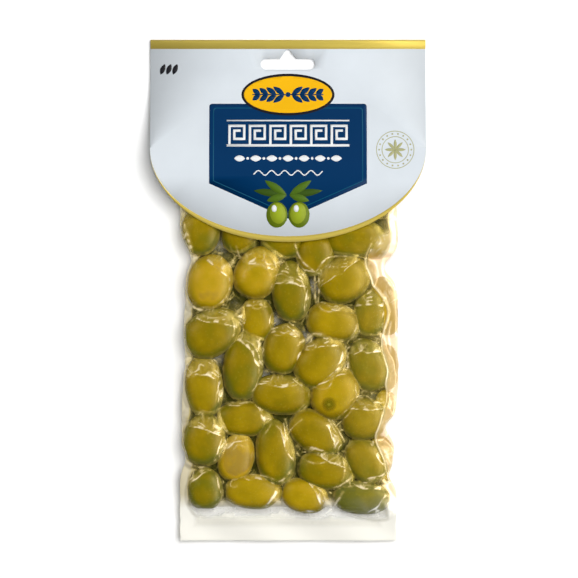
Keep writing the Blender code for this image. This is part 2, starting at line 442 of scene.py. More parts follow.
# %% Write how the film clings and lets go
CLING = 0.87
CLING_LOOSE = 0.3
LET_GO = 0.75
OTHER_TURN = 1.75
OTHER_EDGE = 0.8
OTHER_SWAY = 0.1
CORNER_TURN = 2.0
CORNER_SWAY = 0.4
CORNER_EDGE = 0.86
LEAST_REACH = 0.1
MOST_REACH = 0.93
WIDE_WANDER = 0.022
FINE_WANDER = 0.004
ROUNDING = 0.04
KINK = 0.78
DRAW = 0.42
FILM_OFF = 0.10 * MM

Drape = namedtuple("Drape", "best second beyond loose_side flesh pleats scale")


def straight_edge(heading, facing, share):
    """How far out a straight edge lies in each direction, when it lies at a share straight ahead."""
    return share / np.clip(np.cos(heading - facing), 0.05, 1.0)


def soft_least(first, second):
    """The smaller of two, with the corner between them rounded off."""
    return -ROUNDING * np.logaddexp(-first / ROUNDING, -second / ROUNDING)


def cling_reach(body, heading, wander):
    """How far out the film clings to an olive in each direction, and where it is the loose side."""
    loose_edge = straight_edge(heading, body.lets_go, 1 - LET_GO * body.loose)
    other_share = OTHER_EDGE + OTHER_SWAY * math.cos(body.spin)
    other_edge = straight_edge(heading, body.lets_go - OTHER_TURN, other_share)
    corner_turn = CORNER_TURN + CORNER_SWAY * math.sin(body.spin)
    corner_edge = straight_edge(heading, body.lets_go + corner_turn, CORNER_EDGE)
    held = np.full(heading.shape, CLING if body.loose < 1 else CLING_LOOSE)
    reach = held
    for edge in (loose_edge, other_edge, corner_edge):
        reach = soft_least(reach, edge)
    side = smooth_step(held + 0.1 - np.minimum(loose_edge, other_edge), -0.05, 0.25)
    return np.clip(reach + wander * (0.15 + side), LEAST_REACH, MOST_REACH), side


def slope_off(out, reach):
    """The olive's own dome as far as the film clings, then a falling slope with a kink."""
    lift = dome(reach)
    steep = KINK * (reach / lift) ** (FULLNESS - 1)
    away = out - reach
    return np.where(away < 0, dome(out), lift - steep * away - DRAW * away * away)


def drape(x, y):
    """The highest of all the slopes at each place, and what the finish needs to know there."""
    nowhere, none = np.full(x.shape, NOWHERE), np.zeros(x.shape)
    cover = Drape(nowhere, nowhere, none + 1, none, nowhere, none, none)
    wander = WIDE_WANDER * ripple(x, y, 6 * MM, 2) + FINE_WANDER * ripple(x, y, 2.6 * MM, 4)
    for number, body in enumerate(BODIES):
        out = how_far_out(*olive_place(body, x, y))
        heading = np.arctan2(y - body.y, x - body.x)
        reach, side = cling_reach(body, heading, wander)
        height = body.middle + FILM_OFF + body.half_width / PLUMP * slope_off(out, reach)
        waves = np.sin(11 * heading + 3 * body.spin + 2 * out) + 0.8 * np.sin(27 * heading + number)
        waves += np.sin(19 * heading - 5 * body.spin - 3 * out)
        flesh = skin_over(body, out)
        top = height > cover.best
        cover = Drape(
            np.where(top, height, cover.best),
            np.where(top, cover.best, np.maximum(cover.second, height)),
            np.where(top, out - reach, cover.beyond),
            np.where(top, side, cover.loose_side),
            np.maximum(cover.flesh, flesh),
            np.where(top, waves, cover.pleats),
            np.where(top, body.half_width, cover.scale),
        )
    return cover


print(f"the film clings out to {CLING:.2f} of an olive's radius")

# %% [markdown]
# ## The pouch's outline
#
# The weld's cut edge is straight where it was made, but the vacuum pulls it in wherever there is a
# gap between two olives. Each notch here is one such place. A depth below zero is a place where an
# olive pushes the edge out instead.

# %% Write the outline and the lower film
Notch = namedtuple("Notch", "side up depth reach")
NOTCHES = (
    Notch(-1, 14, 3.8, 7.0),
    Notch(-1, -2, 2.4, 16.0),
    Notch(-1, -31, 2.0, 14.0),
    Notch(-1, -60, 0.8, 14.0),
    Notch(-1, -74, 2.2, 5.0),
    Notch(1, 20, -0.8, 12.0),
    Notch(1, 10, 5.4, 5.5),
    Notch(1, -10, -0.9, 10.0),
    Notch(1, -35, -1.0, 12.0),
    Notch(1, -60, 4.6, 4.5),
    Notch(1, -74, 1.2, 10.0),
    Notch(1, -81, 2.4, 4.0),
)
BACK_CLING = 0.7
CUT_WOBBLE = 0.3 * MM


def edge_x(side, y):
    """Where the pouch's cut edge runs on one side, drawn in at each notch."""
    drawn = sum(
        notch.depth * MM * np.exp(-(((y - notch.up * MM) / (notch.reach * MM)) ** 2))
        for notch in NOTCHES
        if notch.side == side
    )
    uneven = CUT_WOBBLE * (1 + np.sin(y / (2.1 * MM) + 2 * np.sin(y / (5.3 * MM)) + side)) / 2
    return side * (POUCH_HALF - drawn - uneven)


def from_edge(x, y):
    """How far a place lies inside the nearest cut edge."""
    return np.minimum.reduce((x - edge_x(-1, y), edge_x(1, y) - x, y - BOTTOM_Y, POUCH_TOP_Y - y))


def film_back(x, y):
    """Height of the lower film, flat where the olives press it on the table."""
    height = weld_height(x, y) - WELD / 2
    for body in BODIES:
        out = how_far_out(*olive_place(body, x, y))
        fall = slope_off(out, np.full(x.shape, BACK_CLING))
        height = np.minimum(height, body.middle - FILM_OFF - body.half_width / PLUMP * fall)
    return np.maximum(height, FLOOR_UNDER_CARD * under_card(x, y) + FILM_OFF)


print(len(NOTCHES), "notches in the cut edge")

# %% [markdown]
# ## Creases
#
# Film that is left over has to go somewhere. It stands up as a line round each patch and as
# thin arcs behind it, radiates in pleats, pinches into a web along the valleys, and crumples where
# nothing holds it. Those follow rules. The folds that catch the eye are drawn one by one, each as a
# few points with a height and a width. The first four make one long wavy fold down the right side.
# All creases and folds, and a sheen just off each patch, carry a painted highlight in cream.
# The film beyond it hangs slack, as a tan veil over whatever lies there.

# %% List the drawn folds
Fold = namedtuple("Fold", "height width points")
LONG_FOLDS = (
    Fold(
        0.8,
        0.6,
        ((36, 20), (33, 12.6), (36.7, 4.6), (37, 1.9), (39.2, -0.2), (41.9, -4.2), (43.8, -9.4)),
    ),
    Fold(
        0.8,
        0.5,
        ((42, -5), (43.8, -9.4), (43.1, -13.4), (41.6, -18), (40.7, -22.6), (41.2, -27.7)),
    ),
    Fold(
        0.8,
        0.5,
        ((40.8, -25), (42.6, -31.3), (43.7, -35.7), (42.3, -40.8), (43.4, -44.6), (42.6, -50.5)),
    ),
    Fold(
        0.8,
        0.5,
        ((43, -48), (41.4, -53.6), (39.5, -59.7), (37.8, -63.6), (39, -68), (41.6, -73), (43.5, -81)),
    ),
    Fold(0.6, 0.7, ((45, 21), (41, 14), (40.1, 8), (43, 4), (46, 0))),
    Fold(0.5, 0.5, ((44.5, -14), (43.2, -20), (44.5, -27))),
    Fold(0.7, 0.8, ((-45.5, 30), (-42, 17), (-40, 10))),
    Fold(0.7, 0.6, ((-45.5, -2), (-41, -8), (-36, -9))),
    Fold(0.6, 0.6, ((-45, -74), (-40, -77.5), (-34, -77))),
    Fold(0.7, 0.45, ((3, 20), (5, 13), (12, 7.5))),
    Fold(0.7, 0.45, ((12, 7.5), (17, 15), (27, 14.5))),
    Fold(0.8, 0.45, ((11.6, 7.5), (11.7, -2), (12.2, -6))),
    Fold(0.7, 0.4, ((13.3, 6.5), (13.5, 0), (13, -6))),
    Fold(0.5, 0.6, ((24, -88), (18, -97), (11, -101))),
)
SMALL_FOLDS = (
    Fold(0.3, 0.5, ((-11, 17.5), (-10, 13), (-9, 9.5))),
    Fold(0.3, 0.4, ((-8.5, 15), (-5.5, 12), (-5, 8))),
    Fold(0.3, 0.5, ((-25.5, 7), (-25, 0), (-27.5, -4.5))),
    Fold(0.3, 0.45, ((12.5, -5.5), (15.4, -9.4), (19.8, -9.4), (24, -7.2))),
    Fold(0.25, 0.35, ((16, -5.8), (19, -7.6), (22.5, -6.6))),
    Fold(0.3, 0.4, ((-24.5, -12), (-23, -17), (-24, -21))),
    Fold(0.3, 0.4, ((-6.5, 5.5), (-3, 7.5), (1.5, 5), (6, 6.3))),
    Fold(0.35, 0.45, ((5, 13), (3.5, 8), (6.5, 3), (8, -2))),
    Fold(0.35, 0.45, ((8, -2), (7, -7), (8, -12))),
    Fold(0.25, 0.35, ((-8, -18), (-4, -20.3), (0.5, -17.6), (4, -17.2))),
    Fold(0.25, 0.4, ((-16.5, -6.5), (-14, -8.5), (-11, -7.2))),
    Fold(0.35, 0.45, ((-21, -21.5), (-16, -22.5), (-12, -29), (-12.5, -37))),
    Fold(0.5, 0.8, ((4.5, -24), (7.5, -21.5), (12, -18.5), (16, -20))),
    Fold(0.4, 0.35, ((-22.5, 19), (-21.8, 16.5), (-21, 13.8))),
    Fold(0.3, 0.3, ((-25.3, 19.5), (-24.6, 17), (-22.8, 14.2))),
    Fold(0.3, 0.8, ((-14.5, 22), (-14.8, 18.2))),
    Fold(0.2, 0.9, ((-19.9, 4.3), (-17.3, 9.8), (-13.5, 11.6), (-9.6, 10.4), (-7.7, 5.9))),
    Fold(0.3, 0.6, ((-37.2, -10.1), (-35.6, -12.1), (-30.1, -12), (-26, -11))),
    Fold(0.3, 0.4, ((25, -24), (26.5, -30), (23, -36))),
    Fold(0.3, 0.45, ((30.5, -23), (31.5, -25.5), (34.5, -25), (34, -28))),
    Fold(0.3, 0.4, ((-42, -30), (-37, -31.5), (-33, -29.5), (-30.5, -32))),
    Fold(0.3, 0.45, ((-30.5, -33), (-30, -41), (-31.5, -48))),
    Fold(0.3, 0.4, ((-6, -36.5), (-8.5, -41.5))),
    Fold(0.3, 0.4, ((0.5, -37), (4, -40.5), (8, -43))),
    Fold(0.35, 0.4, ((19.5, -37), (18.5, -42), (14.5, -43.5), (11, -42))),
    Fold(0.4, 0.4, ((26.5, -49), (29, -46.8), (33, -45.5), (36, -47), (38.5, -51))),
    Fold(0.3, 0.4, ((30, -48), (33, -50), (36, -50), (40, -52))),
    Fold(0.3, 0.35, ((19.5, -58), (24, -53.5), (28, -50))),
    Fold(0.3, 0.35, ((20.5, -59.5), (25, -55.5), (28, -52))),
    Fold(0.35, 0.45, ((-17, -48.5), (-21, -49.5), (-25, -49))),
    Fold(0.3, 0.4, ((-11.5, -58), (-9, -55.5), (-6.5, -57.5), (-11, -64))),
    Fold(0.3, 0.4, ((-6.5, -57.5), (-3, -61), (-1, -66))),
    Fold(0.3, 0.4, ((6.5, -56), (1.5, -60), (-0.5, -64))),
    Fold(0.35, 0.5, ((17, -55.5), (21.5, -60), (24.5, -66))),
    Fold(0.3, 0.4, ((-38.5, -51.5), (-36.5, -56), (-38, -60.5))),
    Fold(0.3, 0.4, ((-33, -55), (-32, -59), (-35, -62.5))),
    Fold(0.3, 0.5, ((-27.5, -63.5), (-27, -67), (-28.5, -70))),
    Fold(0.3, 0.5, ((-24, -69.5), (-21.5, -66.5), (-19.5, -68.5))),
    Fold(0.3, 0.4, ((4, -71.5), (10, -75.5), (16, -75.2), (21.5, -72))),
    Fold(0.3, 0.5, ((23, -71.5), (25, -77.5), (23.5, -83))),
    Fold(0.25, 0.35, ((-22, -82), (-24.5, -82.5), (-25.5, -85.5), (-22.5, -86), (-21.5, -83.5))),
    Fold(0.3, 0.4, ((-18, -80), (-10, -80.8), (-5, -83))),
    Fold(0.3, 0.5, ((9, -84), (14, -86.5), (16.5, -92))),
    Fold(0.3, 0.45, ((21, -84.5), (25, -86), (31, -84.5), (38, -85.5))),
    Fold(0.25, 0.4, ((27.5, -86.5), (26.5, -83))),
)
LONG_WAVY = LONG_FOLDS[:4]
FOLD_SPREAD = 4
FOLD_END = 0.06


def rounded(points, rounds=2):
    """A line with its corners cut off, and cut again."""
    line = np.array(points, dtype=float)
    for _ in range(rounds):
        first, second = line[:-1], line[1:]
        cut = np.stack((0.75 * first + 0.25 * second, 0.25 * first + 0.75 * second), axis=1)
        line = np.concatenate((line[:1], cut.reshape(-1, 2), line[-1:]))
    return line * MM


def fold_ridge(x, y, fold):
    """1 along a fold's line, fading to 0 at its ends and beside it."""
    line = rounded(fold.points)
    reach = FOLD_SPREAD * fold.width * MM
    low, high = line.min(axis=0) - reach, line.max(axis=0) + reach
    near = (x > low[0]) & (x < high[0]) & (y > low[1]) & (y < high[1])
    px, py = x[near], y[near]
    nearest, run = np.full(px.shape, 1.0), np.zeros(px.shape)
    for index, (start, end) in enumerate(zip(line, line[1:])):
        (sx, sy), span = end - start, max(((end - start) ** 2).sum(), 1e-12)
        share = np.clip(((px - start[0]) * sx + (py - start[1]) * sy) / span, 0.0, 1.0)
        away = np.hypot(px - start[0] - share * sx, py - start[1] - share * sy)
        run = np.where(away < nearest, (index + share) / (len(line) - 1), run)
        nearest = np.minimum(nearest, away)
    ridge = np.zeros(x.shape)
    fade = np.sin(math.pi * np.clip(run, FOLD_END, 1 - FOLD_END)) ** 0.6
    ridge[near] = np.exp(-((nearest / (fold.width * MM)) ** 2)) * fade
    return ridge


print(len(LONG_FOLDS), "long folds and", len(SMALL_FOLDS), "small ones")

# %% Write the creases that follow rules
PINCH = 0.45 * MM
PINCH_WIDTH = 0.6 * MM
LINE = 0.16 * MM
LINE_WIDTH = 0.32 * MM
RIPPLE_RISE = 0.06 * MM
RIPPLE_PITCH = 1.7 * MM
PLEAT = 0.03 * MM
CRUSH = 0.03 * MM
SHEEN = 1.3 * MM
FAINT = 0.08


def creases(x, y, cover, open_air):
    """How far each kind of crease stands up, and one mask of them all for the painted highlight."""
    stand_off = cover.beyond * cover.scale  # how far outside the patch, in metres
    patchy = smooth_step(ripple(x, y, 7 * MM, 8), -0.7, 0.8)
    between = cover.best - cover.second + 0.25 * MM * ripple(x, y, 3 * MM, 14)
    valley = np.exp(-((between / PINCH_WIDTH) ** 2))
    webs = valley * smooth_step(ripple(x, y, 9 * MM, 3), 0.2, 1.2)
    line = np.exp(-((stand_off / LINE_WIDTH) ** 2)) * (0.1 + 0.9 * cover.loose_side)
    line = line * (0.25 + 0.75 * smooth_step(ripple(x, y, 6 * MM, 5), -0.7, 0.7))
    # Painted highlight: a soft sheen just off each patch, stronger on its loose side.
    sheen = np.exp(-np.clip(stand_off, 0, 1) / SHEEN) * smooth_step(stand_off, -0.2 * MM, 0.2 * MM)
    sheen = sheen * smooth_step(ripple(x, y, 5 * MM, 41), 0.0, 1.1) * (0.2 + 0.8 * cover.loose_side)
    behind = smooth_step(cover.beyond, 0.03, 0.12) * (1 - smooth_step(cover.beyond, 0.35, 0.75))
    wander = stand_off / RIPPLE_PITCH + 0.55 * ripple(x, y, 11 * MM, 21)
    arcs = np.clip(1 - 4 * np.abs(wander - np.round(wander)), 0, 1) * behind * cover.loose_side
    arcs = arcs * smooth_step(ripple(x, y, 6 * MM, 17), 0.0, 1.2)
    loose = smooth_step(cover.beyond, 0.02, 0.2) * (1 - valley) * (0.2 + 0.8 * cover.loose_side)
    streaks = smooth_step(cover.pleats, 0.6, 2.0) * loose * patchy
    pleats = np.clip(1 - np.abs(cover.pleats), 0, 1) * loose * patchy
    crumples = crease(x, y, 5 * MM, 12) * smooth_step(cover.beyond, 0.2, 0.5) * patchy
    raised = PINCH * webs + LINE * line + RIPPLE_RISE * arcs
    raised = raised + PLEAT * (pleats + 1.5 * streaks) + CRUSH * crumples
    # The mask is painted highlight: cream on webs, lines, arcs, pleats, streaks, crumples and sheen.
    mask = 0.3 * webs + 0.9 * sheen + 0.95 * line + 0.8 * arcs
    mask = mask + 0.3 * pleats + 0.45 * streaks + 0.3 * crumples
    return raised * open_air, np.clip((mask - FAINT) / (1 - FAINT), 0, 1) * open_air


print(f"webs stand {PINCH / MM:.1f} mm high")

# %% [markdown]
# ## What the finish has to know
#
# A material can't tell a crease from an olive, so the mesh tells it. Each vertex keeps four masks
# from 0 to 1: hazy where the film stands off the olives, folded on creases and folds and on the
# sheen just off each patch, where it takes a painted highlight, welded at the seal and in deep
# hollows, and misty where the film hangs slack. They come from the same rules as the heights, so
# colour and shape always agree.

# %% Write the upper film's masks
WELD_FADE = (5.0 * MM, 11.0 * MM)
HOLLOW = (2.5 * MM, 6 * MM)
RIM_FADE = (2.6 * MM, 4.6 * MM)
RIM_HEIGHT = (2.5 * MM, 6.5 * MM)
LOW_VEIL = 0.6
LOW_VEIL_ENDS = (BOTTOM_Y + 15 * MM, BOTTOM_Y + 20 * MM)
VEIL_THINS = (BOTTOM_Y + 12 * MM, BOTTOM_Y + 18 * MM)
SEAL_ENDS = (BOTTOM_Y + 8.5 * MM, BOTTOM_Y + 11.5 * MM)
SLOPE_VEIL = 0.1
EDGE_VEIL = 0.78
SIDE_VEIL = 0.09
SIDE_FROM, SIDE_TO = 22.0 * MM, 36.0 * MM
VEIL_TOP = ((45, 30), (41, 27), (38.2, 22), (36.2, 18), (34.2, 15), (34.2, 9))
UPPER_VEIL = (14 * MM, 19 * MM)
UPPER_THINNING = 0.35


def haze_mask(x, y, cover, gap):
    """1 just off the olives, less in the open gaps between them."""
    hazy = smooth_step(cover.beyond, 0.0, 0.05) * (0.45 + 0.55 * smooth_step(gap, 0.1 * MM, MM))
    hazy = hazy * (1.0 - 0.9 * smooth_step(gap, 1.2 * MM, 3.5 * MM))
    return hazy * (0.4 + 0.6 * smooth_step(ripple(x, y, 3 * MM, 37), -0.9, 0.9))


def low_veil(y, gap):
    """A veil below the lowest olives. It is thin on their slope and full on the seal."""
    low = 1.0 - smooth_step(y, *LOW_VEIL_ENDS)
    off_slope = np.maximum(smooth_step(y, *VEIL_THINS), 1.0 - smooth_step(y, *SEAL_ENDS))
    return low * smooth_step(gap, 0.5 * MM, 1.5 * MM) * (SLOPE_VEIL + (1 - SLOPE_VEIL) * off_slope)


def weld_mask(x, y, above_weld, gap):
    """1 along the weld and its rim, fading inwards, and paler where an olive lies close below."""
    welded = 1.0 - smooth_step(above_weld, 0.0, 3.0 * MM)
    welded = welded * (1.0 - smooth_step(from_edge(x, y), *WELD_FADE))
    hollow = smooth_step(gap, *HOLLOW)
    welded = np.maximum(welded * (0.2 + 0.8 * hollow), LOW_VEIL * low_veil(y, gap))
    rim = 1.0 - smooth_step(from_edge(x, y), *RIM_FADE)
    rim = rim * (1.0 - smooth_step(above_weld, *RIM_HEIGHT))
    return np.maximum(welded, rim * hollow)


def veil_edge_x(y):
    """How far to the right the slack film begins: at the long wavy fold, and further out above it."""
    line = np.concatenate([fold.points for fold in LONG_WAVY])
    line = np.concatenate((VEIL_TOP, line[line[:, 1] < VEIL_TOP[-1][1]]))
    line = rounded(line[np.argsort(line[:, 1])])
    return np.interp(y, line[:, 1], line[:, 0])


def mist_mask(x, y):
    """A trace down the right side, and nearly full where the film hangs slack."""
    cloudy = smooth_step(ripple(x, y, 6 * MM, 51), -0.8, 0.8)
    side = smooth_step(x, SIDE_FROM, SIDE_TO) * (0.6 + 0.4 * cloudy)
    slack = smooth_step(x - veil_edge_x(y), -0.4 * MM, 1.2 * MM)
    slack = slack * (1.0 - UPPER_THINNING * smooth_step(y, *UPPER_VEIL))
    return np.maximum(SIDE_VEIL * side, EDGE_VEIL * slack)


print(f"the slack film begins {veil_edge_x(0.0) / MM:.0f} mm right of the middle")

# %% Put the upper film together


def add_drawn_folds(x, y, height, folded):
    """Raises the film along the listed folds, and marks them in the mask."""
    worn = 0.35 + 0.65 * smooth_step(ripple(x, y, 3.5 * MM, 29), -0.8, 0.9)
    for fold in LONG_FOLDS + SMALL_FOLDS:
        ridge = fold_ridge(x, y, fold)
        height = height + fold.height * MM * ridge
        strength = 1.0 if fold in LONG_WAVY else worn * min(1.2 * fold.height + 0.2, 1.0)
        folded = np.maximum(folded, ridge * strength)
    return height, folded


def film_front(x, y):
    """The upper film's height and masks. Under the card it stays below the board."""
    weld = weld_height(x, y)
    open_air = 1.0 - under_card(x, y)
    cover = drape(x, y)
    above_weld = cover.best - weld
    over_weld = smooth_step(above_weld, 0.0, 1.5 * MM)
    raised, folded = creases(x, y, cover, open_air)
    height = np.maximum(cover.best, weld + WELD / 2) + raised * over_weld
    height, folded = add_drawn_folds(x, y, height, folded * over_weld)
    gap = height - cover.flesh
    masks = {
        "hazy": haze_mask(x, y, cover, gap),
        "folded": folded,
        "welded": weld_mask(x, y, above_weld, gap),
        "misty": mist_mask(x, y) * open_air,
    }
    ceiling = card_height(TOP_Y - y) - BOARD - CLEAR
    return np.where(open_air < 1, np.minimum(height, ceiling), height), masks


middle_height = film_front(np.zeros(1), np.zeros(1))[0][0]
print(f"in the middle of the pack the film is {middle_height / MM:.1f} mm high")

# %% [markdown]
# ## Clear film as a material
#
# Film this thin bends no light. As a real film it only does two things: it mirrors a share of the
# light, more of it the flatter one looks along it, and it scatters a little where it is welded, slack
# or stands off the olives. On its creases, folds and a sheen just off each patch the material also
# carries painted highlight. So the film is a mirror that covers only that share of the surface, and
# a haze that covers another share. Alpha is the two shares together, and Metallic says how much of it
# is mirror. The gloss is a soft one, because a sharp mirror of so small a share renders as specks.
# The haze is warm over the olives, tan in the slack veil and milky at the bottom. The painted
# highlight is cream, and the weld has painted shade that makes it darker towards the left.
# Fresnel turns its index round on the back of a face, as inside glass. A film looks the same from
# both sides, so the index is turned round once more there.

# %% Make the crumple group


def crumple_group():
    """A node group: fine crumples on Object coordinates, as a height and as a mask."""
    group = bpy.data.node_groups.new("fine_crumple", "ShaderNodeTree")
    group.interface.new_socket("Size", in_out="INPUT", socket_type="NodeSocketFloat")
    group.interface.new_socket("Height", in_out="OUTPUT", socket_type="NodeSocketFloat")
    group.interface.new_socket("Cloudy", in_out="OUTPUT", socket_type="NodeSocketFloat")
    entry = group.nodes.new("NodeGroupInput").outputs["Size"]
    leave = group.nodes.new("NodeGroupOutput")
    place = object_place(group)
    ridges = {"noise_type": "RIDGED_MULTIFRACTAL", "normalize": False}
    sharp = add_node(group, "ShaderNodeTexNoise", ridges, Vector=place, Scale=entry, Detail=2.0)
    cloudy = add_node(group, "ShaderNodeTexNoise", Vector=place, Scale=90.0, Detail=3.0)
    spread = add_node(group, "ShaderNodeMapRange", Value=cloudy.outputs["Fac"], n1=0.35, n2=0.7)
    group.links.new(sharp.outputs[0], leave.inputs["Height"])
    group.links.new(spread.outputs[0], leave.inputs["Cloudy"])
    return group


CRUMPLE = crumple_group()


def add_crumple(tree, size):
    """The crumple group placed in a material."""
    return add_node(tree, "ShaderNodeGroup", {"node_tree": CRUMPLE}, Size=size)


print("group:", CRUMPLE.name)

# %% Choose the film's colours
WARM = (1.0, 0.74, 0.08, 1.0)
TAN = (0.53, 0.335, 0.06, 1.0)
# Painted highlight: the cream laid on creases, folds and the sheen just off each patch.
PAINTED_HIGHLIGHT = (1.0, 0.86, 0.58, 1.0)
WELD_RIGHT = (0.96, 0.72, 0.48, 1.0)
# Painted shade: the weld's colour at the left edge, a darker copy of the right one.
WELD_PAINTED_SHADE = (0.60, 0.54, 0.38, 1.0)
MILK = (0.90, 0.885, 0.81, 1.0)
MIRROR = (1.0, 0.90, 0.52, 1.0)
MILK_FROM = -89.0 * MM
MILK_TO = -95.0 * MM


def film_colour(tree, mirror):
    """Warm, tan if slack, golden mirror, milky below, cream painted highlight, painted shade on weld's
    left.
    """
    folded, welded, misty = (mask_socket(tree, mask) for mask in ("folded", "welded", "misty"))
    slack = add_node(tree, "ShaderNodeMapRange", Value=misty, n1=SIDE_VEIL, n2=EDGE_VEIL).outputs[0]
    place = add_node(tree, "ShaderNodeSeparateXYZ", Vector=object_place(tree)).outputs
    milky = add_node(tree, "ShaderNodeMapRange", Value=place["Y"], n1=MILK_FROM, n2=MILK_TO)
    # The weld gets painted shade here: it runs darker towards the left side.
    right = add_node(tree, "ShaderNodeMapRange", Value=place["X"], n1=-SIDE_TO, n2=SIDE_TO)
    weld = mix_colours(tree, right.outputs[0], WELD_PAINTED_SHADE, WELD_RIGHT)
    colour = mix_colours(tree, welded, mix_colours(tree, slack, WARM, TAN), weld)
    # Where the mask marks creases, folds and sheen, the colour turns to the cream painted highlight.
    colour = mix_colours(tree, folded, colour, PAINTED_HIGHLIGHT)
    colour = mix_colours(tree, mirror, colour, MIRROR)
    return mix_colours(tree, milky.outputs[0], colour, MILK)


print(f"the film turns milky {(MILK_TO - BOTTOM_Y) / MM:.0f} mm above its lower edge")

# %% Make the film's finish
GLOSS = 0.34
FILM_IOR = 1.5
WELD_HAZE = 0.96
# How much of the folded mask's cream painted highlight covers the film.
FOLD_HIGHLIGHT = 0.8
CRUMPLE_SIZE = 60.0
SKIN_DEEP = 0.2 * MM


def mirror_share(tree, free, facing):
    """How much a film mirrors: from both its faces, and less where it lies wet on an olive."""
    behind = tree.nodes.new("ShaderNodeNewGeometry").outputs["Backfacing"]
    bend = add_node(tree, "ShaderNodeMapRange", Value=behind, n3=FILM_IOR, n4=1 / FILM_IOR)
    fresnel = add_node(tree, "ShaderNodeFresnel", IOR=bend.outputs[0], Normal=facing).outputs[0]
    twice, more = maths(tree, "MULTIPLY", fresnel, 2.0), maths(tree, "ADD", fresnel, 1.0)
    two_faces = maths(tree, "DIVIDE", twice, more)
    wetted = add_node(tree, "ShaderNodeMapRange", Value=free, n1=0.0, n2=0.5, n3=0.4, n4=1.0)
    shine = maths(tree, "MULTIPLY", two_faces, wetted.outputs[0])
    return maths(tree, "MULTIPLY", shine, GLOSS)


def haze_share(tree, hazed, welded, folded, cloudy):
    """How much a film scatters, with its painted highlight on creases: the most that any mask asks for.
    """
    clouds = add_node(tree, "ShaderNodeMapRange", Value=cloudy, n3=0.55, n4=1.0)
    share = maths(tree, "MULTIPLY", hazed, clouds.outputs[0])
    share = maths(tree, "MAXIMUM", share, mask_socket(tree, "misty"))
    share = maths(tree, "MAXIMUM", share, maths(tree, "MULTIPLY", welded, WELD_HAZE))
    return maths(tree, "MAXIMUM", share, maths(tree, "MULTIPLY", folded, FOLD_HIGHLIGHT))


def film_finish(name, haze, bump):
    """Clear film: a Fresnel share of mirror, and a share of haze and painted highlight from the mesh's
    masks.
    """
    finish, tree, shader = new_finish(name)
    crumple = add_crumple(tree, CRUMPLE_SIZE).outputs
    hazy, folded, welded = (mask_socket(tree, mask) for mask in ("hazy", "folded", "welded"))
    free = maths(tree, "MAXIMUM", hazy, maths(tree, "MAXIMUM", folded, welded))
    crumpled = maths(tree, "MULTIPLY", crumple["Height"], maths(tree, "MINIMUM", free, 1.0))
    raised = add_node(tree, "ShaderNodeBump", Strength=bump, Distance=SKIN_DEEP, Height=crumpled)
    shine = mirror_share(tree, free, raised.outputs[0])
    hazed = maths(tree, "MULTIPLY", hazy, haze)
    share = haze_share(tree, hazed, welded, folded, crumple["Cloudy"])
    unhazed, unmirrored = maths(tree, "SUBTRACT", 1.0, share), maths(tree, "SUBTRACT", 1.0, shine)
    through = maths(tree, "MULTIPLY", unhazed, unmirrored)
    cover = maths(tree, "SUBTRACT", 1.0, through)
    mirror = maths(tree, "DIVIDE", shine, cover)
    satin = add_node(tree, "ShaderNodeMapRange", Value=free, n1=0.0, n2=0.4, n3=0.46, n4=0.40)
    tree.links.new(cover, shader.inputs["Alpha"])
    tree.links.new(mirror, shader.inputs["Metallic"])
    tree.links.new(satin.outputs[0], shader.inputs["Roughness"])
    tree.links.new(film_colour(tree, mirror), shader.inputs["Base Color"])
    tree.links.new(raised.outputs[0], shader.inputs["Normal"])
    return finish


UPPER_FILM = film_finish("upper_film", haze=0.26, bump=0.06)
LOWER_FILM = film_finish("lower_film", haze=0.25, bump=0.35)
print("finishes:", UPPER_FILM.name, LOWER_FILM.name)

# %% [markdown]
# ## The two films
#
# Each film starts as a flat grid of squares, as the real one starts as a flat sheet. Its rows are
# close together where the film shows and further apart under the card. The squares are then moved
# out to the outline and up to the film's height. Near the cut edge both films come together. The
# lower film's faces are turned over, so that each film faces out of the pouch.

# %% Lay the films
SEAL_EDGE = 0.8 * MM
SHOWN_TOP = 30.0 * MM
BACK_HAZE = 0.6
BACK_CREASE_HIGHLIGHT = 0.4


def lay_film(name, columns, rows, shown_share, finish, heights, faces_down=False):
    """A grid stretched over the pouch's outline and lifted to a film's height."""
    edit = bmesh.new()
    bmesh.ops.create_grid(edit, x_segments=columns, y_segments=rows, size=1.0)
    if faces_down:
        bmesh.ops.reverse_faces(edit, faces=edit.faces)
    film = object_from(edit, name, finish)
    places = read_places(film.data)
    across, along = (places[:, 0] + 1) / 2, (places[:, 1] + 1) / 2
    y = np.interp(along, (0.0, shown_share, 1.0), (BOTTOM_Y, SHOWN_TOP, POUCH_TOP_Y))
    left, right = edge_x(-1, y), edge_x(1, y)
    x = left + (right - left) * across
    z, masks = heights(x, y)
    sealed = smooth_step(from_edge(x, y), 0.0, SEAL_EDGE)
    z = weld_height(x, y) * (1 - sealed) + z * sealed
    write_places(film.data, np.stack((x, y, z), axis=1))
    for mask, values in masks.items():
        write_mask(film.data, mask, values)
    film.data.shade_smooth()
    return film


def lower_heights(x, y):
    """The lower film's height and masks. It is a little hazy all over, and nowhere slack."""
    height = film_back(x, y)
    welded = 1.0 - smooth_step(weld_height(x, y) - WELD / 2 - height, -0.1 * MM, 0.6 * MM)
    crumpled = crease(x, y, 6 * MM, 31) * (1 - under_card(x, y))
    hazy = np.full(x.shape, BACK_HAZE)
    # The lower film's crumples take the cream painted highlight through its folded mask.
    return height, {"hazy": hazy, "folded": BACK_CREASE_HIGHLIGHT * crumpled, "welded": welded, "misty": 0 * hazy}


upper = lay_film("upper_film", 240, 410, 0.87, UPPER_FILM, film_front)
lower = lay_film("lower_film", 84, 170, 0.72, LOWER_FILM, lower_heights, faces_down=True)
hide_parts("pouch")
belongs(upper)
belongs(lower)

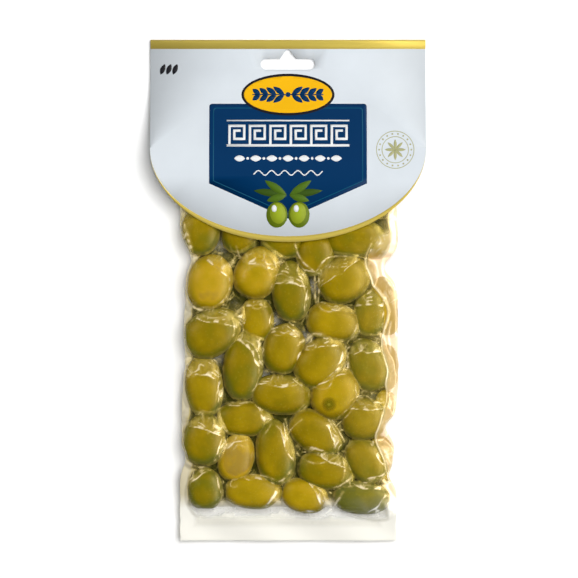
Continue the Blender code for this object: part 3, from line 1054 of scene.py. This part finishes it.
# %% [markdown]
# ## Brine
#
# A spoonful of dark brine is left between the olives. It fills the narrow gaps and thins out where
# a gap is wide. Its dark sheet is painted shade too, darkest in the narrow gaps where olives touch.
# A few gaps are dry, and so is the room below the lowest olives, and those look grey or white. The
# brine is one sheet half-way between the films, so only the gaps show it.

# %% Pour the brine
BRINE_DEPTH = 0.42
BRINE_SHORE = 6.0 * MM
BRINE_LOWEST = BOTTOM_Y + 15.0 * MM
DRY_GAPS = ((-28, 20), (11.8, 2), (-29.5, -28.5), (-10, -38), (9.6, -20), (-6, -13.5), (-28, -54))
DRY_REACH = 3.5 * MM
BRINE_GAP = (1.0 * MM, 3.2 * MM)
THIN_BRINE = 0.7
DEEP_BRINE_AND_SHADE = 0.98
DRYNESS = 0.75


def brine_finish():
    """Dark olive water, also painted shade, that covers less where the mesh says that it is shallow."""
    finish, tree, shader = new_finish("brine", Roughness=0.15, Specular_IOR_Level=0.04)
    shader.inputs["Base Color"].default_value = (0.026, 0.028, 0.0012, 1.0)
    tree.links.new(mask_socket(tree, "brine_and_shade"), shader.inputs["Alpha"])
    return finish


def pour_brine():
    """A sheet inside the pouch, painted shade darkest between olives that touch, paler in wide or dry
    gaps.
    """
    edit = bmesh.new()
    bmesh.ops.create_grid(edit, x_segments=90, y_segments=150, size=1.0)
    brine = object_from(edit, "brine", brine_finish())
    places = read_places(brine.data)
    y = np.interp(places[:, 1], (-1, 1), (BRINE_LOWEST, POUCH_TOP_Y - BRINE_SHORE))
    left, right = edge_x(-1, y) + BRINE_SHORE / 2, edge_x(1, y) - BRINE_SHORE / 2
    x = left + (right - left) * (places[:, 0] + 1) / 2
    low, cover = film_back(x, y), drape(x, y)
    z = low + (cover.best - low) * BRINE_DEPTH
    aways = [(how_far_out(*olive_place(body, x, y)) - 1) * body.half_width for body in BODIES]
    nearest = np.min(aways, axis=0)
    inside = np.minimum.reduce((x - left, right - x, y - BRINE_LOWEST))
    brine_and_shade = (1 - smooth_step(nearest, *BRINE_GAP)) * smooth_step(inside, 0, BRINE_SHORE / 2)
    write_places(brine.data, np.stack((x, y, np.maximum(z, low + 2 * FILM_OFF)), axis=1))
    offs = [np.hypot(x - across * MM, y - up * MM) / DRY_REACH for across, up in DRY_GAPS]
    dry = sum(np.exp(-(off**2)) for off in offs)
    # Painted shade: the dark sheet covers most between olives that touch.
    dark = THIN_BRINE + (DEEP_BRINE_AND_SHADE - THIN_BRINE) * brine_and_shade
    write_mask(brine.data, "brine_and_shade", dark * (1 - DRYNESS * np.clip(dry, 0, 1)))
    brine.data.shade_smooth()
    return brine


belongs(pour_brine())

# %% [markdown]
# ## Olive skin
#
# Brined olives are yellow-green with a waxy skin that lets some light in. Ripeness is kept on the
# mesh, one number for each olive, and moves its colour from green to gold. Near each olive's rim,
# and most on its lower side, the number is lowered, which is painted shade. A slow mottling and fine
# pale pores keep it from looking painted.

# %% Make the olives' finish
RIPENING = (
    (0.0, (0.12, 0.125, 0.015)),
    (0.22, (0.175, 0.15, 0.002)),
    (0.4, (0.25, 0.175, 0.0012)),
    (0.7, (0.40, 0.27, 0.003)),
    (0.86, (0.49, 0.31, 0.012)),
    (1.0, (0.35, 0.225, 0.028)),
)


def colour_ramp(tree, factor, stops):
    """A colour that runs through stops, each a place and a colour."""
    ramp = add_node(tree, "ShaderNodeValToRGB", Fac=factor)
    elements = ramp.color_ramp.elements
    for index, (place, colour) in enumerate(stops):
        stop = elements[index] if index < 2 else elements.new(place)
        stop.position, stop.color = place, (*colour, 1.0)
    return ramp.outputs["Color"]


def olive_finish():
    """Wet olive skin whose colour follows the ripe number kept on the mesh, painted shade included."""
    finish, tree, shader = new_finish(
        "olive_skin",
        Roughness=0.45,
        Specular_IOR_Level=0.03,
        Subsurface_Weight=0.2,
        Subsurface_Scale=0.003,
    )
    shader.inputs["Subsurface Radius"].default_value = (1.0, 0.7, 0.05)
    place = object_place(tree)
    slow = add_node(tree, "ShaderNodeTexNoise", Vector=place, Scale=110.0, Detail=3.0)
    mottle = maths(tree, "MULTIPLY", maths(tree, "SUBTRACT", slow.outputs["Fac"], 0.5), 0.7)
    # The mesh's ripe number holds painted shade as well, so the rims come out darker and greener.
    colour = colour_ramp(tree, maths(tree, "ADD", mask_socket(tree, "ripe"), mottle), RIPENING)
    pores = add_node(tree, "ShaderNodeTexVoronoi", Vector=place, Scale=700.0)
    apart = pores.outputs["Distance"]
    dots = add_node(tree, "ShaderNodeMapRange", Value=apart, n1=0.1, n2=0.3, n3=0.1, n4=0.0)
    colour = mix_colours(tree, dots.outputs[0], colour, (0.62, 0.50, 0.10, 1.0))
    tree.links.new(colour, shader.inputs["Base Color"])
    dimples = add_node(tree, "ShaderNodeTexNoise", Vector=place, Scale=260.0, Detail=2.0)
    bumpy = dimples.outputs["Fac"]
    raised = add_node(tree, "ShaderNodeBump", Strength=0.25, Distance=SKIN_DEEP, Height=bumpy)
    tree.links.new(raised.outputs[0], shader.inputs["Normal"])
    return finish


OLIVE_SKIN = olive_finish()
print("finish:", OLIVE_SKIN.name)

# %% [markdown]
# ## The olives
#
# Each olive is a ball with its poles laid along the fruit. The far pole is drawn out to the small
# tip that a green olive has, and the near one is pressed in where the stalk was. Then the ball is
# stretched and turned into place, and flattened where it would reach through the film.

# %% Grow the olives
TIP = 0.07
TIP_POINT = 14
STALK_DENT = 0.10
DENT_POINT = 40
RIM_SHADE = 0.46
EDGE_ROOM = 0.9 * MM


def shaped_ball(body):
    """One olive's ball in the pack's own frame, and each vertex's ripe number with painted rim shade."""
    ball = bmesh.new()
    bmesh.ops.create_uvsphere(ball, u_segments=40, v_segments=24, radius=1.0)
    unit = np.array([vert.co[:] for vert in ball.verts])
    unit /= (np.abs(unit) ** FULLNESS).sum(axis=1, keepdims=True) ** (1 / FULLNESS)
    along = unit[:, 2] + TIP * np.clip(unit[:, 2], 0, 1) ** TIP_POINT
    along = along + STALK_DENT * np.clip(-along, 0, 1) ** DENT_POINT
    long_way = along * body.half_length
    wide_way = unit[:, 0] * (1 + body.egg * along) * body.half_width
    x = body.x + long_way * math.cos(body.turn) - wide_way * math.sin(body.turn)
    y = body.y + long_way * math.sin(body.turn) + wide_way * math.cos(body.turn)
    z = body.middle + unit[:, 1] * body.half_width / PLUMP
    x = np.clip(x, edge_x(-1, y) + EDGE_ROOM, edge_x(1, y) - EDGE_ROOM)
    z = np.minimum(np.maximum(z, film_back(x, y) + FILM_OFF), film_front(x, y)[0] - FILM_OFF / 2)
    for vert, place in zip(ball.verts, np.stack((x, y, z), axis=1)):
        vert.co = place
    # Painted shade: the colour is pushed darker and greener towards each rim, most on the lower side.
    shaded_low_side = smooth_step((body.y - y) / body.half_width, -0.2, 1.0)
    rim = smooth_step(np.hypot(unit[:, 0], unit[:, 2]), 0.6, 1.0)
    return ball, body.ripe - RIM_SHADE * rim * (0.35 + 0.65 * shaded_low_side)


def grow_olives():
    """All the olives in one mesh, each with its ripe number and painted shade at the rims."""
    heap = bpy.data.meshes.new("olives")
    edit = bmesh.new()
    ripeness_and_rim_shade = []
    for body in BODIES:
        ball, ripe = shaped_ball(body)
        ripeness_and_rim_shade.extend(ripe)
        ball.to_mesh(heap)
        ball.free()
        edit.from_mesh(heap)
    bpy.data.meshes.remove(heap)
    bmesh.ops.recalc_face_normals(edit, faces=edit.faces)
    grown = object_from(edit, "olives", OLIVE_SKIN)
    write_mask(grown.data, "ripe", ripeness_and_rim_shade)
    grown.data.shade_smooth()
    return grown


olives = grow_olives()
belongs(olives)

# %% [markdown]
# ## Stalk scars
#
# Where an olive was picked, a round scar stays: a dark ring with a paler middle. Only a few of them
# face up. Each is a thin disc that is laid on the olive's own curve, just under the film, and the
# mesh keeps how far out each vertex is, so that the material can draw the ring.

# %% Lay the stalk scars
Scar = namedtuple("Scar", "across up radius")
SCARS = (Scar(17.8, -49.7, 3.6), Scar(33.4, -24.8, 1.9))
SCAR_OFF = 0.05 * MM
SCAR_RINGS = 8
RING_COLOURS = (
    (0.0, (0.32, 0.28, 0.04)),
    (0.13, (0.27, 0.23, 0.01)),
    (0.24, (0.17, 0.14, 0.002)),
    (0.5, (0.20, 0.165, 0.002)),
    (0.74, (0.15, 0.12, 0.002)),
    (1.0, (0.26, 0.21, 0.002)),
)


def scar_finish():
    """Dark olive skin in a ring, fading out towards its rim."""
    finish, tree, shader = new_finish("stalk_scar", Roughness=0.6, Specular_IOR_Level=0.03)
    outward = mask_socket(tree, "outward")
    tree.links.new(colour_ramp(tree, outward, RING_COLOURS), shader.inputs["Base Color"])
    fade = add_node(tree, "ShaderNodeMapRange", Value=outward, n1=0.35, n2=1.0, n3=0.75, n4=0.0)
    tree.links.new(fade.outputs[0], shader.inputs["Alpha"])
    return finish


def skin_height(x, y):
    """The height of the olives' skin, from the highest olive at each place."""
    return np.max([skin_over(body, how_far_out(*olive_place(body, x, y))) for body in BODIES], axis=0)


def lay_scars():
    """All the scars in one mesh."""
    edit = bmesh.new()
    outward = []
    for scar in SCARS:
        rings = bmesh.ops.create_circle(edit, cap_ends=True, cap_tris=True, segments=28, radius=1.0)
        own = [edge for edge in edit.edges if edge.verts[0] in rings["verts"]]
        spokes = [edge for edge in own if len(edge.link_faces) == 2]
        bmesh.ops.subdivide_edges(edit, edges=spokes, cuts=SCAR_RINGS)
        fresh = edit.verts[len(outward):]
        flat = np.array([vert.co[:2] for vert in fresh])
        outward.extend(np.hypot(flat[:, 0], flat[:, 1]))
        x = (scar.across + scar.radius * flat[:, 0]) * MM
        y = (scar.up + scar.radius * flat[:, 1]) * MM
        for vert, place in zip(fresh, np.stack((x, y, skin_height(x, y) + SCAR_OFF), axis=1)):
            vert.co = place
    scars = object_from(edit, "stalk_scars", scar_finish())
    write_mask(scars.data, "outward", outward)
    scars.data.shade_smooth()
    return scars


belongs(lay_scars())

# %% [markdown]
# ## Printed board as a material
#
# The card is coated board, printed in flat colours. Every ink is the same stuff in another colour,
# so one node group makes the fine fibre of the board and each ink uses it with its own values.

# %% Make the board group


def board_group():
    """A node group: a colour mottled by the board's fibre, and the fibre's height."""
    group = bpy.data.node_groups.new("board_fibre", "ShaderNodeTree")
    group.interface.new_socket("Colour", in_out="INPUT", socket_type="NodeSocketColor")
    group.interface.new_socket("Mottle", in_out="INPUT", socket_type="NodeSocketFloat")
    group.interface.new_socket("Colour", in_out="OUTPUT", socket_type="NodeSocketColor")
    group.interface.new_socket("Gloss", in_out="OUTPUT", socket_type="NodeSocketFloat")
    group.interface.new_socket("Height", in_out="OUTPUT", socket_type="NodeSocketFloat")
    entry = group.nodes.new("NodeGroupInput").outputs
    leave = group.nodes.new("NodeGroupOutput").inputs
    place = object_place(group)
    fibre = add_node(group, "ShaderNodeTexNoise", Vector=place, Scale=2600.0, Detail=3.0)
    cloud = add_node(group, "ShaderNodeTexNoise", Vector=place, Scale=60.0, Detail=4.0)
    spread = add_node(group, "ShaderNodeMapRange", Value=cloud.outputs["Fac"], n1=0.3, n2=0.7)
    shade = maths(group, "MULTIPLY", spread.outputs[0], entry["Mottle"])
    bright = maths(group, "SUBTRACT", 1.0, shade)
    darker = add_node(group, "ShaderNodeHueSaturation", Color=entry["Colour"], Value=bright)
    strand = fibre.outputs["Fac"]
    gloss = add_node(group, "ShaderNodeMapRange", Value=strand, n1=0.3, n2=0.7, n3=0.46, n4=0.6)
    group.links.new(darker.outputs[0], leave["Colour"])
    group.links.new(gloss.outputs[0], leave["Gloss"])
    group.links.new(strand, leave["Height"])
    return group


BOARD_FIBRE = board_group()
FIBRE_DEEP = 0.03 * MM


def ink(name, colour, metallic=0.0, mottle=0.05):
    """One printed colour on the board."""
    finish, tree, shader = new_finish(name, Metallic=metallic, Specular_IOR_Level=0.05)
    board = {"node_tree": BOARD_FIBRE}
    fibre = add_node(tree, "ShaderNodeGroup", board, Colour=(*colour, 1.0), Mottle=mottle).outputs
    grain = fibre["Height"]
    raised = add_node(tree, "ShaderNodeBump", Strength=0.15, Distance=FIBRE_DEEP, Height=grain)
    tree.links.new(fibre["Colour"], shader.inputs["Base Color"])
    tree.links.new(fibre["Gloss"], shader.inputs["Roughness"])
    tree.links.new(raised.outputs[0], shader.inputs["Normal"])
    return finish


PALE = ink("pale_board", (0.66, 0.71, 0.76))
GOLD_INK = ink("gold_ink", (0.55, 0.43, 0.085), metallic=0.1)
NAVY = ink("navy_ink", (0.0, 0.030, 0.106))
TEAL = ink("teal_ink", (0.004, 0.085, 0.16))
SUN = ink("sun_ink", (0.86, 0.46, 0.006))
CHALK = ink("chalk_ink", (0.80, 0.82, 0.84))
LEAF = ink("leaf_ink", (0.075, 0.15, 0.012))
LEAF_DARK = ink("dark_leaf_ink", (0.04, 0.085, 0.01))
FRUIT = ink("fruit_ink", (0.30, 0.38, 0.02))
FRUIT_SHADE = ink("fruit_shade_ink", (0.13, 0.19, 0.008))
THIN_GOLD = ink("thin_gold_ink", (0.42, 0.42, 0.22))
DARK_INK = ink("dark_ink", (0.012, 0.012, 0.016))
print("inks share the group", BOARD_FIBRE.name)

# %% [markdown]
# ## Cutting and folding the card
#
# The real card is die-cut flat and then folded, and the mesh is made the same way. The outline and
# the two hang holes are loops of edges that triangle_fill closes into a flat blank. Straight cuts
# across it give it rows that can bend. Folding is then one rule that takes a place on the flat
# blank to its place on the folded card. It works for the prints too.

# %% Write the folding rule
QUARTER_FOLD = math.pi / 2 * FOLD_RADIUS
NUDGE = 0.1 * MM
FOLD_ROWS = [QUARTER_FOLD * share for share in np.linspace(-1.0, 1.0, 17)]


def unrolled(below_fold):
    """How far from the fold's crown a place lies on the flat blank."""
    return below_fold - FOLD_RADIUS + QUARTER_FOLD


def folded_place(x, run, lift):
    """A place on the folded card. run is the distance from the crown, negative on the back."""
    if abs(run) < QUARTER_FOLD:
        turn = run / FOLD_RADIUS
        reach = FOLD_RADIUS + lift
        return x, TOP_Y - FOLD_RADIUS + reach * math.cos(turn), FOLD_RADIUS + reach * math.sin(turn)
    below_fold = abs(run) - QUARTER_FOLD + FOLD_RADIUS
    if run < 0:
        return x, TOP_Y - below_fold, -lift
    rise = float(card_height(below_fold + NUDGE) - card_height(below_fold - NUDGE))
    tilt = math.atan(rise / (2 * NUDGE))
    height = float(card_height(below_fold)) + lift * math.cos(tilt)
    return x, TOP_Y - below_fold + lift * math.sin(tilt), height


def fold_edit(edit, lift):
    """Folds a flat bmesh whose y is the distance from the crown, with its faces outward."""
    for vert in edit.verts:
        vert.co = folded_place(vert.co.x, vert.co.y, lift)
    bmesh.ops.recalc_face_normals(edit, faces=edit.faces)
    shown = sum(face.normal.z for face in edit.faces if face.calc_center_median().z > FOLD_RADIUS)
    if shown < 0:
        bmesh.ops.reverse_faces(edit, faces=edit.faces)


print(f"the fold takes {2 * QUARTER_FOLD / MM:.1f} mm of board")

# %% Write the flat cutting tools
SNAP = 1e-7


def flat_loop(edit, points):
    """A closed loop of edges through flat points."""
    corners = [edit.verts.new((x, y, 0.0)) for x, y in points]
    return [edit.edges.new(pair) for pair in zip(corners, corners[1:] + corners[:1])]


def fill_shape(edit, loops):
    """Fills the flat room between closed loops, so an inner loop is a hole."""
    edges = [edge for points in loops for edge in flat_loop(edit, points)]
    bmesh.ops.triangle_fill(edit, edges=edges, use_beauty=True, use_dissolve=False)


def cut_rows(edit, rows):
    """Cuts a flat bmesh straight across at each row, so that it can bend there."""
    for row in rows:
        geometry = edit.verts[:] + edit.edges[:] + edit.faces[:]
        place, facing = (0, row, 0), (0, 1, 0)
        bmesh.ops.bisect_plane(edit, geom=geometry, dist=SNAP, plane_co=place, plane_no=facing)


def bend_rows(low, high, pitch=1.5 * MM):
    """Rows close together where the front panel bends, between two places on the blank."""
    bend = np.arange(unrolled(LIFT_START - 2 * MM), unrolled(LIFT_END + 2 * MM), pitch)
    return [row for row in (*FOLD_ROWS, *bend) if low < row < high]


def thicken(piece, depth):
    """Gives a sheet its thickness under the shown face."""
    wall = piece.modifiers.new("thickness", "SOLIDIFY")
    wall.thickness = depth
    wall.offset = -1.0
    return piece


print(len(bend_rows(-1, 1)), "rows to bend at")

# %% [markdown]
# ## The card itself
#
# Half of the blank's outline is written once, for the front, and turned over for the back. The hang
# hole is a bar with round ends and a small peak, so that the card centres itself on a hook.

# %% Cut and fold the card
BAR_HALF = 11.9 * MM
BAR_HEIGHT = 4.8 * MM
BAR_TOP = 8.2 * MM
PEAK_HALF = 3.5 * MM
PEAK_HEIGHT = 3.9 * MM
PEAK_RADIUS = 1.6 * MM


def arc(centre, radius, start, end, count):
    """Points along a round stretch. Angles are in degrees."""
    turns = np.radians(np.linspace(start, end, count))
    return [(centre[0] + radius * math.cos(t), centre[1] + radius * math.sin(t)) for t in turns]


def half_outline():
    """The front panel's lower edge on the blank, from right to left."""
    side = unrolled(CARD_SIDE)
    turns = np.linspace(0, math.pi, 97)
    return [(CARD_HALF * math.cos(t), side + CARD_DROP * math.sin(t)) for t in turns]


def hang_hole():
    """The hang hole on the front half of the blank."""
    radius = BAR_HEIGHT / 2
    middle = unrolled(BAR_TOP + radius)
    reach = BAR_HALF - radius
    peak = unrolled(BAR_TOP) - PEAK_HEIGHT + PEAK_RADIUS
    points = arc((reach, middle), radius, 90, -90, 13)
    points += [(PEAK_HALF, middle - radius)]
    points += arc((0, peak), PEAK_RADIUS, -20, -160, 11)
    points += [(-PEAK_HALF, middle - radius)]
    points += arc((-reach, middle), radius, 270, 90, 13)
    return points


def turned_over(points):
    """The same points on the other half of the blank."""
    return [(x, -y) for x, y in points]


front_edge = half_outline()
outline = front_edge + turned_over(front_edge)[::-1]
blank = bmesh.new()
fill_shape(blank, [outline, hang_hole(), turned_over(hang_hole())])
cut_rows(blank, bend_rows(-1, 1))
fold_edit(blank, 0.0)
card = thicken(object_from(blank, "card", PALE), BOARD)
card.data.shade_smooth()
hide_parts("header_card")
belongs(card)

# %% [markdown]
# ## Printing the card
#
# Each printed field is a thin skin of ink, cut from a flat shape and folded by the same rule as
# the board. It gives a crisp edge at any size, which a picture would not. A level says how many
# inks lie under it, so that no two skins share a height.

# %% Make the printing press
INK_STEP = 0.03 * MM


def to_blank(points):
    """Millimetres across and below the fold's top edge, taken to the flat blank."""
    return [(x * MM, unrolled(down * MM)) for x, down in points]


def print_shapes(name, shapes, finish, level):
    """One ink on the front panel. Each shape is a list of closed loops."""
    edit = bmesh.new()
    for loops in shapes:
        fill_shape(edit, [to_blank(points) for points in loops])
    rows = [vert.co.y for vert in edit.verts]
    cut_rows(edit, bend_rows(min(rows), max(rows)))
    fold_edit(edit, level * INK_STEP)
    field = thicken(object_from(edit, name, finish), (level + 1) * INK_STEP)
    field.data.shade_smooth()
    belongs(field)


def ellipse(centre, half_width, half_height, count=64):
    """A closed ellipse."""
    turns = np.linspace(0, 2 * math.pi, count, endpoint=False)
    return [(centre[0] + half_width * math.cos(t), centre[1] + half_height * math.sin(t)) for t in turns]


print(f"each ink is {INK_STEP / MM:.2f} mm thick")

# %% [markdown]
# ## Gold edges and the dark shield
#
# A gold stripe runs along the fold and a gold border follows the lower curve, thinning to nothing
# at the sides. In the middle is a dark shield with a fine line inside its edge.

# %% Print the gold edges and the shield
SIDE = CARD_SIDE / MM
HALF = CARD_HALF / MM
OUTER_DROP = CARD_DROP / MM
INNER_DROP = OUTER_DROP - 2.5
STRIPE = 4.0
SHIELD_HALF = 34.3
SHIELD_TOP = 28.0
SHIELD_SIDE = 62.9
SHIELD_TIP = 78.2
CORNER = 1.3


def lower_curve(drop, count=97):
    """The card's lower curve at a drop of its own, from right to left."""
    turns = np.linspace(0, math.pi, count)
    return [(HALF * math.cos(t), SIDE + drop * math.sin(t)) for t in turns]


def shield(inset):
    """The shield's outline, moved in by an inset."""
    half, top = SHIELD_HALF - inset, SHIELD_TOP + inset
    side, tip = SHIELD_SIDE - 0.6 * inset, SHIELD_TIP - 1.1 * inset
    points = arc((half - CORNER, top + CORNER), CORNER, 0, -90, 7)
    points += arc((CORNER - half, top + CORNER), CORNER, -90, -180, 7)
    return points + [(-half, side), (0, tip), (half, side)]


border = lower_curve(OUTER_DROP) + lower_curve(INNER_DROP)[-2:0:-1]
print_shapes("gold_border", [[border]], GOLD_INK, 1)
print_shapes("shield", [[shield(0.0)]], NAVY, 1)
print_shapes("shield_line", [[shield(1.7), shield(2.05)]], TEAL, 2)

stripe_low = unrolled(STRIPE * MM)
stripe_corners = [(-CARD_HALF, -stripe_low), (CARD_HALF, -stripe_low)]
stripe = bmesh.new()
fill_shape(stripe, [stripe_corners + [(-x, -y) for x, y in stripe_corners]])
cut_rows(stripe, bend_rows(-stripe_low, stripe_low))
fold_edit(stripe, INK_STEP)
gold_stripe = thicken(object_from(stripe, "gold_stripe", GOLD_INK), 2 * INK_STEP)
gold_stripe.data.shade_smooth()
belongs(gold_stripe)

# %% [markdown]
# ## The ornaments
#
# The card's other fields are plain traditional ornament: an oval medallion with two laurel sprays,
# a Greek key band, a row of leaves and dots, a wavy line, a spray of leaves over two fruits, and a
# ring with a rosette. Each is a few points or a formula, so it stays crisp however near one looks.

# %% Write the shapes of the ornaments


def moved(points, centre, turn=0.0):
    """A shape turned by degrees and moved to its centre."""
    c, s = math.cos(math.radians(turn)), math.sin(math.radians(turn))
    return [(centre[0] + x * c - y * s, centre[1] + x * s + y * c) for x, y in points]


def leaf(foot, length, width, turn, count=10):
    """A leaf with two pointed ends that starts at its foot."""
    shares = np.linspace(0, 1, count + 1)
    edge = [(length * share, width / 2 * math.sin(math.pi * share) ** 0.8) for share in shares]
    return moved(edge + [(x, -y) for x, y in edge[-2:0:-1]], foot, turn)


def ribbon(points, width):
    """A line through points, given a width."""
    line = np.array(points, dtype=float)
    step = np.gradient(line, axis=0)
    step /= np.linalg.norm(step, axis=1)[:, None]
    aside = np.stack((-step[:, 1], step[:, 0]), axis=1) * width / 2
    return [tuple(p) for p in line + aside] + [tuple(p) for p in (line - aside)[::-1]]


def key_turn(left, top, width, height, stroke):
    """One turn of a Greek key: a spiral that hooks inwards."""
    right, low, s = width, height, stroke
    points = [(0, low), (0, 0), (right, 0), (right, low - 2 * s), (2 * s, low - 2 * s)]
    points += [(2 * s, 2 * s), (right - 2 * s, 2 * s), (right - 2 * s, 3 * s), (3 * s, 3 * s)]
    points += [(3 * s, low - 3 * s), (right - s, low - 3 * s), (right - s, s), (s, s), (s, low)]
    return [(left + x, top + y) for x, y in points]


print("a leaf has", len(leaf((0, 0), 1, 1, 0)), "points")

# %% Print the medallion
MEDALLION = (0.0, 24.0)
MEDALLION_HALF = 20.3
MEDALLION_DROP = 9.2


def medallion_oval(inset):
    """The medallion's oval, moved in by an inset."""
    return ellipse(MEDALLION, MEDALLION_HALF - inset, MEDALLION_DROP - inset)


sprays = []
for side in (-1, 1):
    for index in range(4):
        foot = (MEDALLION[0] + side * (1.6 + 3.5 * index), MEDALLION[1])
        for flip in (-1, 1):
            heading = side * flip * 36 + (0 if side > 0 else 180)
            sprays.append([leaf(foot, 6.0 - 0.6 * index, 2.3, heading)])
stems = [[ribbon([(side * 1.0, MEDALLION[1]), (side * 15.5, MEDALLION[1])], 0.5)] for side in (-1, 1)]
print_shapes("medallion_edge", [[medallion_oval(0.0)]], DARK_INK, 3)
print_shapes("medallion_face", [[medallion_oval(1.1)]], SUN, 4)
print_shapes("laurel_leaves", sprays, NAVY, 5)
print_shapes("laurel_stems", stems + [[ellipse(MEDALLION, 1.1, 1.1, 24)]], NAVY, 6)

# %% Print the key band and the lines below it
KEY_TOP = 37.2
KEY_HEIGHT = 8.6
KEY_STROKE = 1.05
KEY_PITCH = 8.9
KEYS = 6
RAIL = 0.6
KEY_LEFT = -KEY_PITCH * KEYS / 2
KEY_LOW = KEY_TOP + KEY_HEIGHT
KEY_DROP = KEY_HEIGHT + 0.3
KEY_START = 0.08
KEY_SHARE = 0.84


def rail(top, height):
    """A straight line as wide as the band."""
    reach = -KEY_LEFT
    return [[(-reach, top), (reach, top), (reach, top + height), (-reach, top + height)]]


keys = []
for index in range(KEYS):
    left = KEY_LEFT + (index + KEY_START) * KEY_PITCH
    keys.append([key_turn(left, KEY_TOP, KEY_SHARE * KEY_PITCH, KEY_DROP, KEY_STROKE)])
LEAF_ROW = 52.0
row = []
for index in range(7):
    centre = -21.0 + 7.0 * index
    row.append([leaf((centre - 2.4, LEAF_ROW), 4.8, 2.7, 0)])
    if index < 6:
        row.append([ellipse((centre + 3.5, LEAF_ROW), 0.6, 0.6, 20)])
WAVE_DOWN = 58.3
wave_line = [(x, WAVE_DOWN + 1.0 * math.sin(x * 1.1)) for x in np.linspace(-15, 15, 90)]
print_shapes("key_band", keys, CHALK, 2)
print_shapes("key_rails", [rail(KEY_LOW, KEY_STROKE), rail(KEY_TOP - 2.1, RAIL)], CHALK, 3)
print_shapes("leaf_row", row, CHALK, 2)
print_shapes("wavy_line", [[ribbon(wave_line, 0.5)]], CHALK, 2)

# %% Print the spray of leaves and fruits
SPRAY = (0.0, 68.0)
for level, (length, turn) in enumerate(((14.5, -8), (11.5, -34), (9.0, 16))):
    pair = [
        [leaf((SPRAY[0] + side * 0.6, SPRAY[1]), length, 3.3, turn if side > 0 else 180 - turn)]
        for side in (-1, 1)
    ]
    print_shapes(f"spray_leaves_{level + 1}", pair, LEAF if level else LEAF_DARK, 3 + level)
fruits = [[ellipse((side * 4.8, 76.5), 4.6, 5.6)] for side in (-1, 1)]
shades = [[moved(ellipse((0, 0), 3.4, 4.5), (side * 4.4, 75.9), 8 * side)] for side in (-1, 1)]
glints = [[ellipse((side * 4.8 - 1.2, 73.8), 1.1, 1.5, 24)] for side in (-1, 1)]
print_shapes("fruits", fruits, FRUIT_SHADE, 6)
print_shapes("fruit_lights", shades, FRUIT, 7)
print_shapes("fruit_glints", glints, CHALK, 8)

# %% Print the ring and the small mark
RING = (46.6, 48.2)
RING_OUT = 8.3
RING_IN = 5.9
RING_STROKE = 0.32
petals = [[leaf(RING, 4.6, 1.3, 45 * index)] for index in range(8)]
rings = []
for radius in (RING_OUT, RING_IN):
    hole = radius - RING_STROKE
    rings.append([ellipse(RING, radius, radius), ellipse(RING, hole, hole)])
beads = [[ellipse(moved([(7.0, 0)], RING, 20 * index)[0], 0.4, 0.4, 12)] for index in range(18)]
print_shapes("ring", rings + beads, THIN_GOLD, 1)
print_shapes("rosette", petals, THIN_GOLD, 1)
MARK = (-55.6, 12.8)
mark = [[leaf((MARK[0] + 2.7 * index, MARK[1] + 2.4), 5.0, 2.2, -68)] for index in range(3)]
print_shapes("small_mark", mark, DARK_INK, 1)

# %% [markdown]
# ## Light and floor
#
# A wide box overhead lights everything evenly, and is kept out of reflections, because a tight film
# would wrap its mirror image round every olive. Three low boxes are there for reflections alone, so
# they light nothing else. They shine on the film's slopes and folds and leave the olives' tops as
# they are. The room is dim and warm, so that a film that mirrors it doesn't look grey. The plain
# floor lies a hair below the pack, so that the card's back and the floor don't share a plane.

# %% Set the floor and the lights
FLOOR_GAP = 0.2 * MM
floor_finish, _, _ = new_finish("floor_white", Base_Color=(0.95, 0.95, 0.95, 1.0), Roughness=0.9)
floor_edit = bmesh.new()
bmesh.ops.create_grid(floor_edit, x_segments=1, y_segments=1, size=12.0)
bmesh.ops.translate(floor_edit, verts=floor_edit.verts, vec=(0, 0, -FLOOR_GAP))
floor = object_from(floor_edit, "floor", floor_finish)


def soft_box(name, place, width, height, power, colour=(1.0, 1.0, 1.0)):
    """A rectangular light that faces the pack."""
    data = bpy.data.lights.new(name, "AREA")
    data.shape = "RECTANGLE"
    data.size, data.size_y = width, height
    data.energy = power
    data.color = colour
    lamp = bpy.data.objects.new(name, data)
    lamp.location = place
    bpy.context.scene.collection.objects.link(lamp)
    lamp.rotation_euler = (-lamp.location).to_track_quat("-Z", "Y").to_euler()
    return lamp


soft_box("right_box", (0.9, 0.65, 0.52), 0.5, 0.6, 25.0, (1.0, 0.93, 0.78)).visible_diffuse = False
soft_box("left_box", (-0.95, 0.5, 0.5), 0.28, 0.32, 6.0, (1.0, 0.97, 0.9)).visible_diffuse = False
soft_box("flank_box", (1.1, -0.1, 0.36), 1.4, 0.7, 54.0, (1.0, 0.93, 0.78)).visible_diffuse = False
soft_box("wide_box", (0.5, 0.25, 2.6), 1.5, 1.5, 85.0).visible_glossy = False


def room_light():
    """A pale room, darker overhead."""
    room = bpy.data.worlds.new("pale_room")
    room.use_nodes = True
    tree = room.node_tree
    heading = tree.nodes.new("ShaderNodeTexCoord").outputs["Generated"]
    up = add_node(tree, "ShaderNodeSeparateXYZ", Vector=heading).outputs["Z"]
    share = add_node(tree, "ShaderNodeMapRange", Value=up, n1=0.1, n2=0.8)
    colour = mix_colours(tree, share.outputs[0], (0.17, 0.155, 0.12, 1.0), (0.04, 0.04, 0.035, 1.0))
    tree.links.new(colour, tree.nodes["Background"].inputs["Color"])
    tree.nodes["Background"].inputs["Strength"].default_value = 1.0
    return room


bpy.context.scene.world = room_light()
bpy.context.scene.view_settings.view_transform = "Standard"
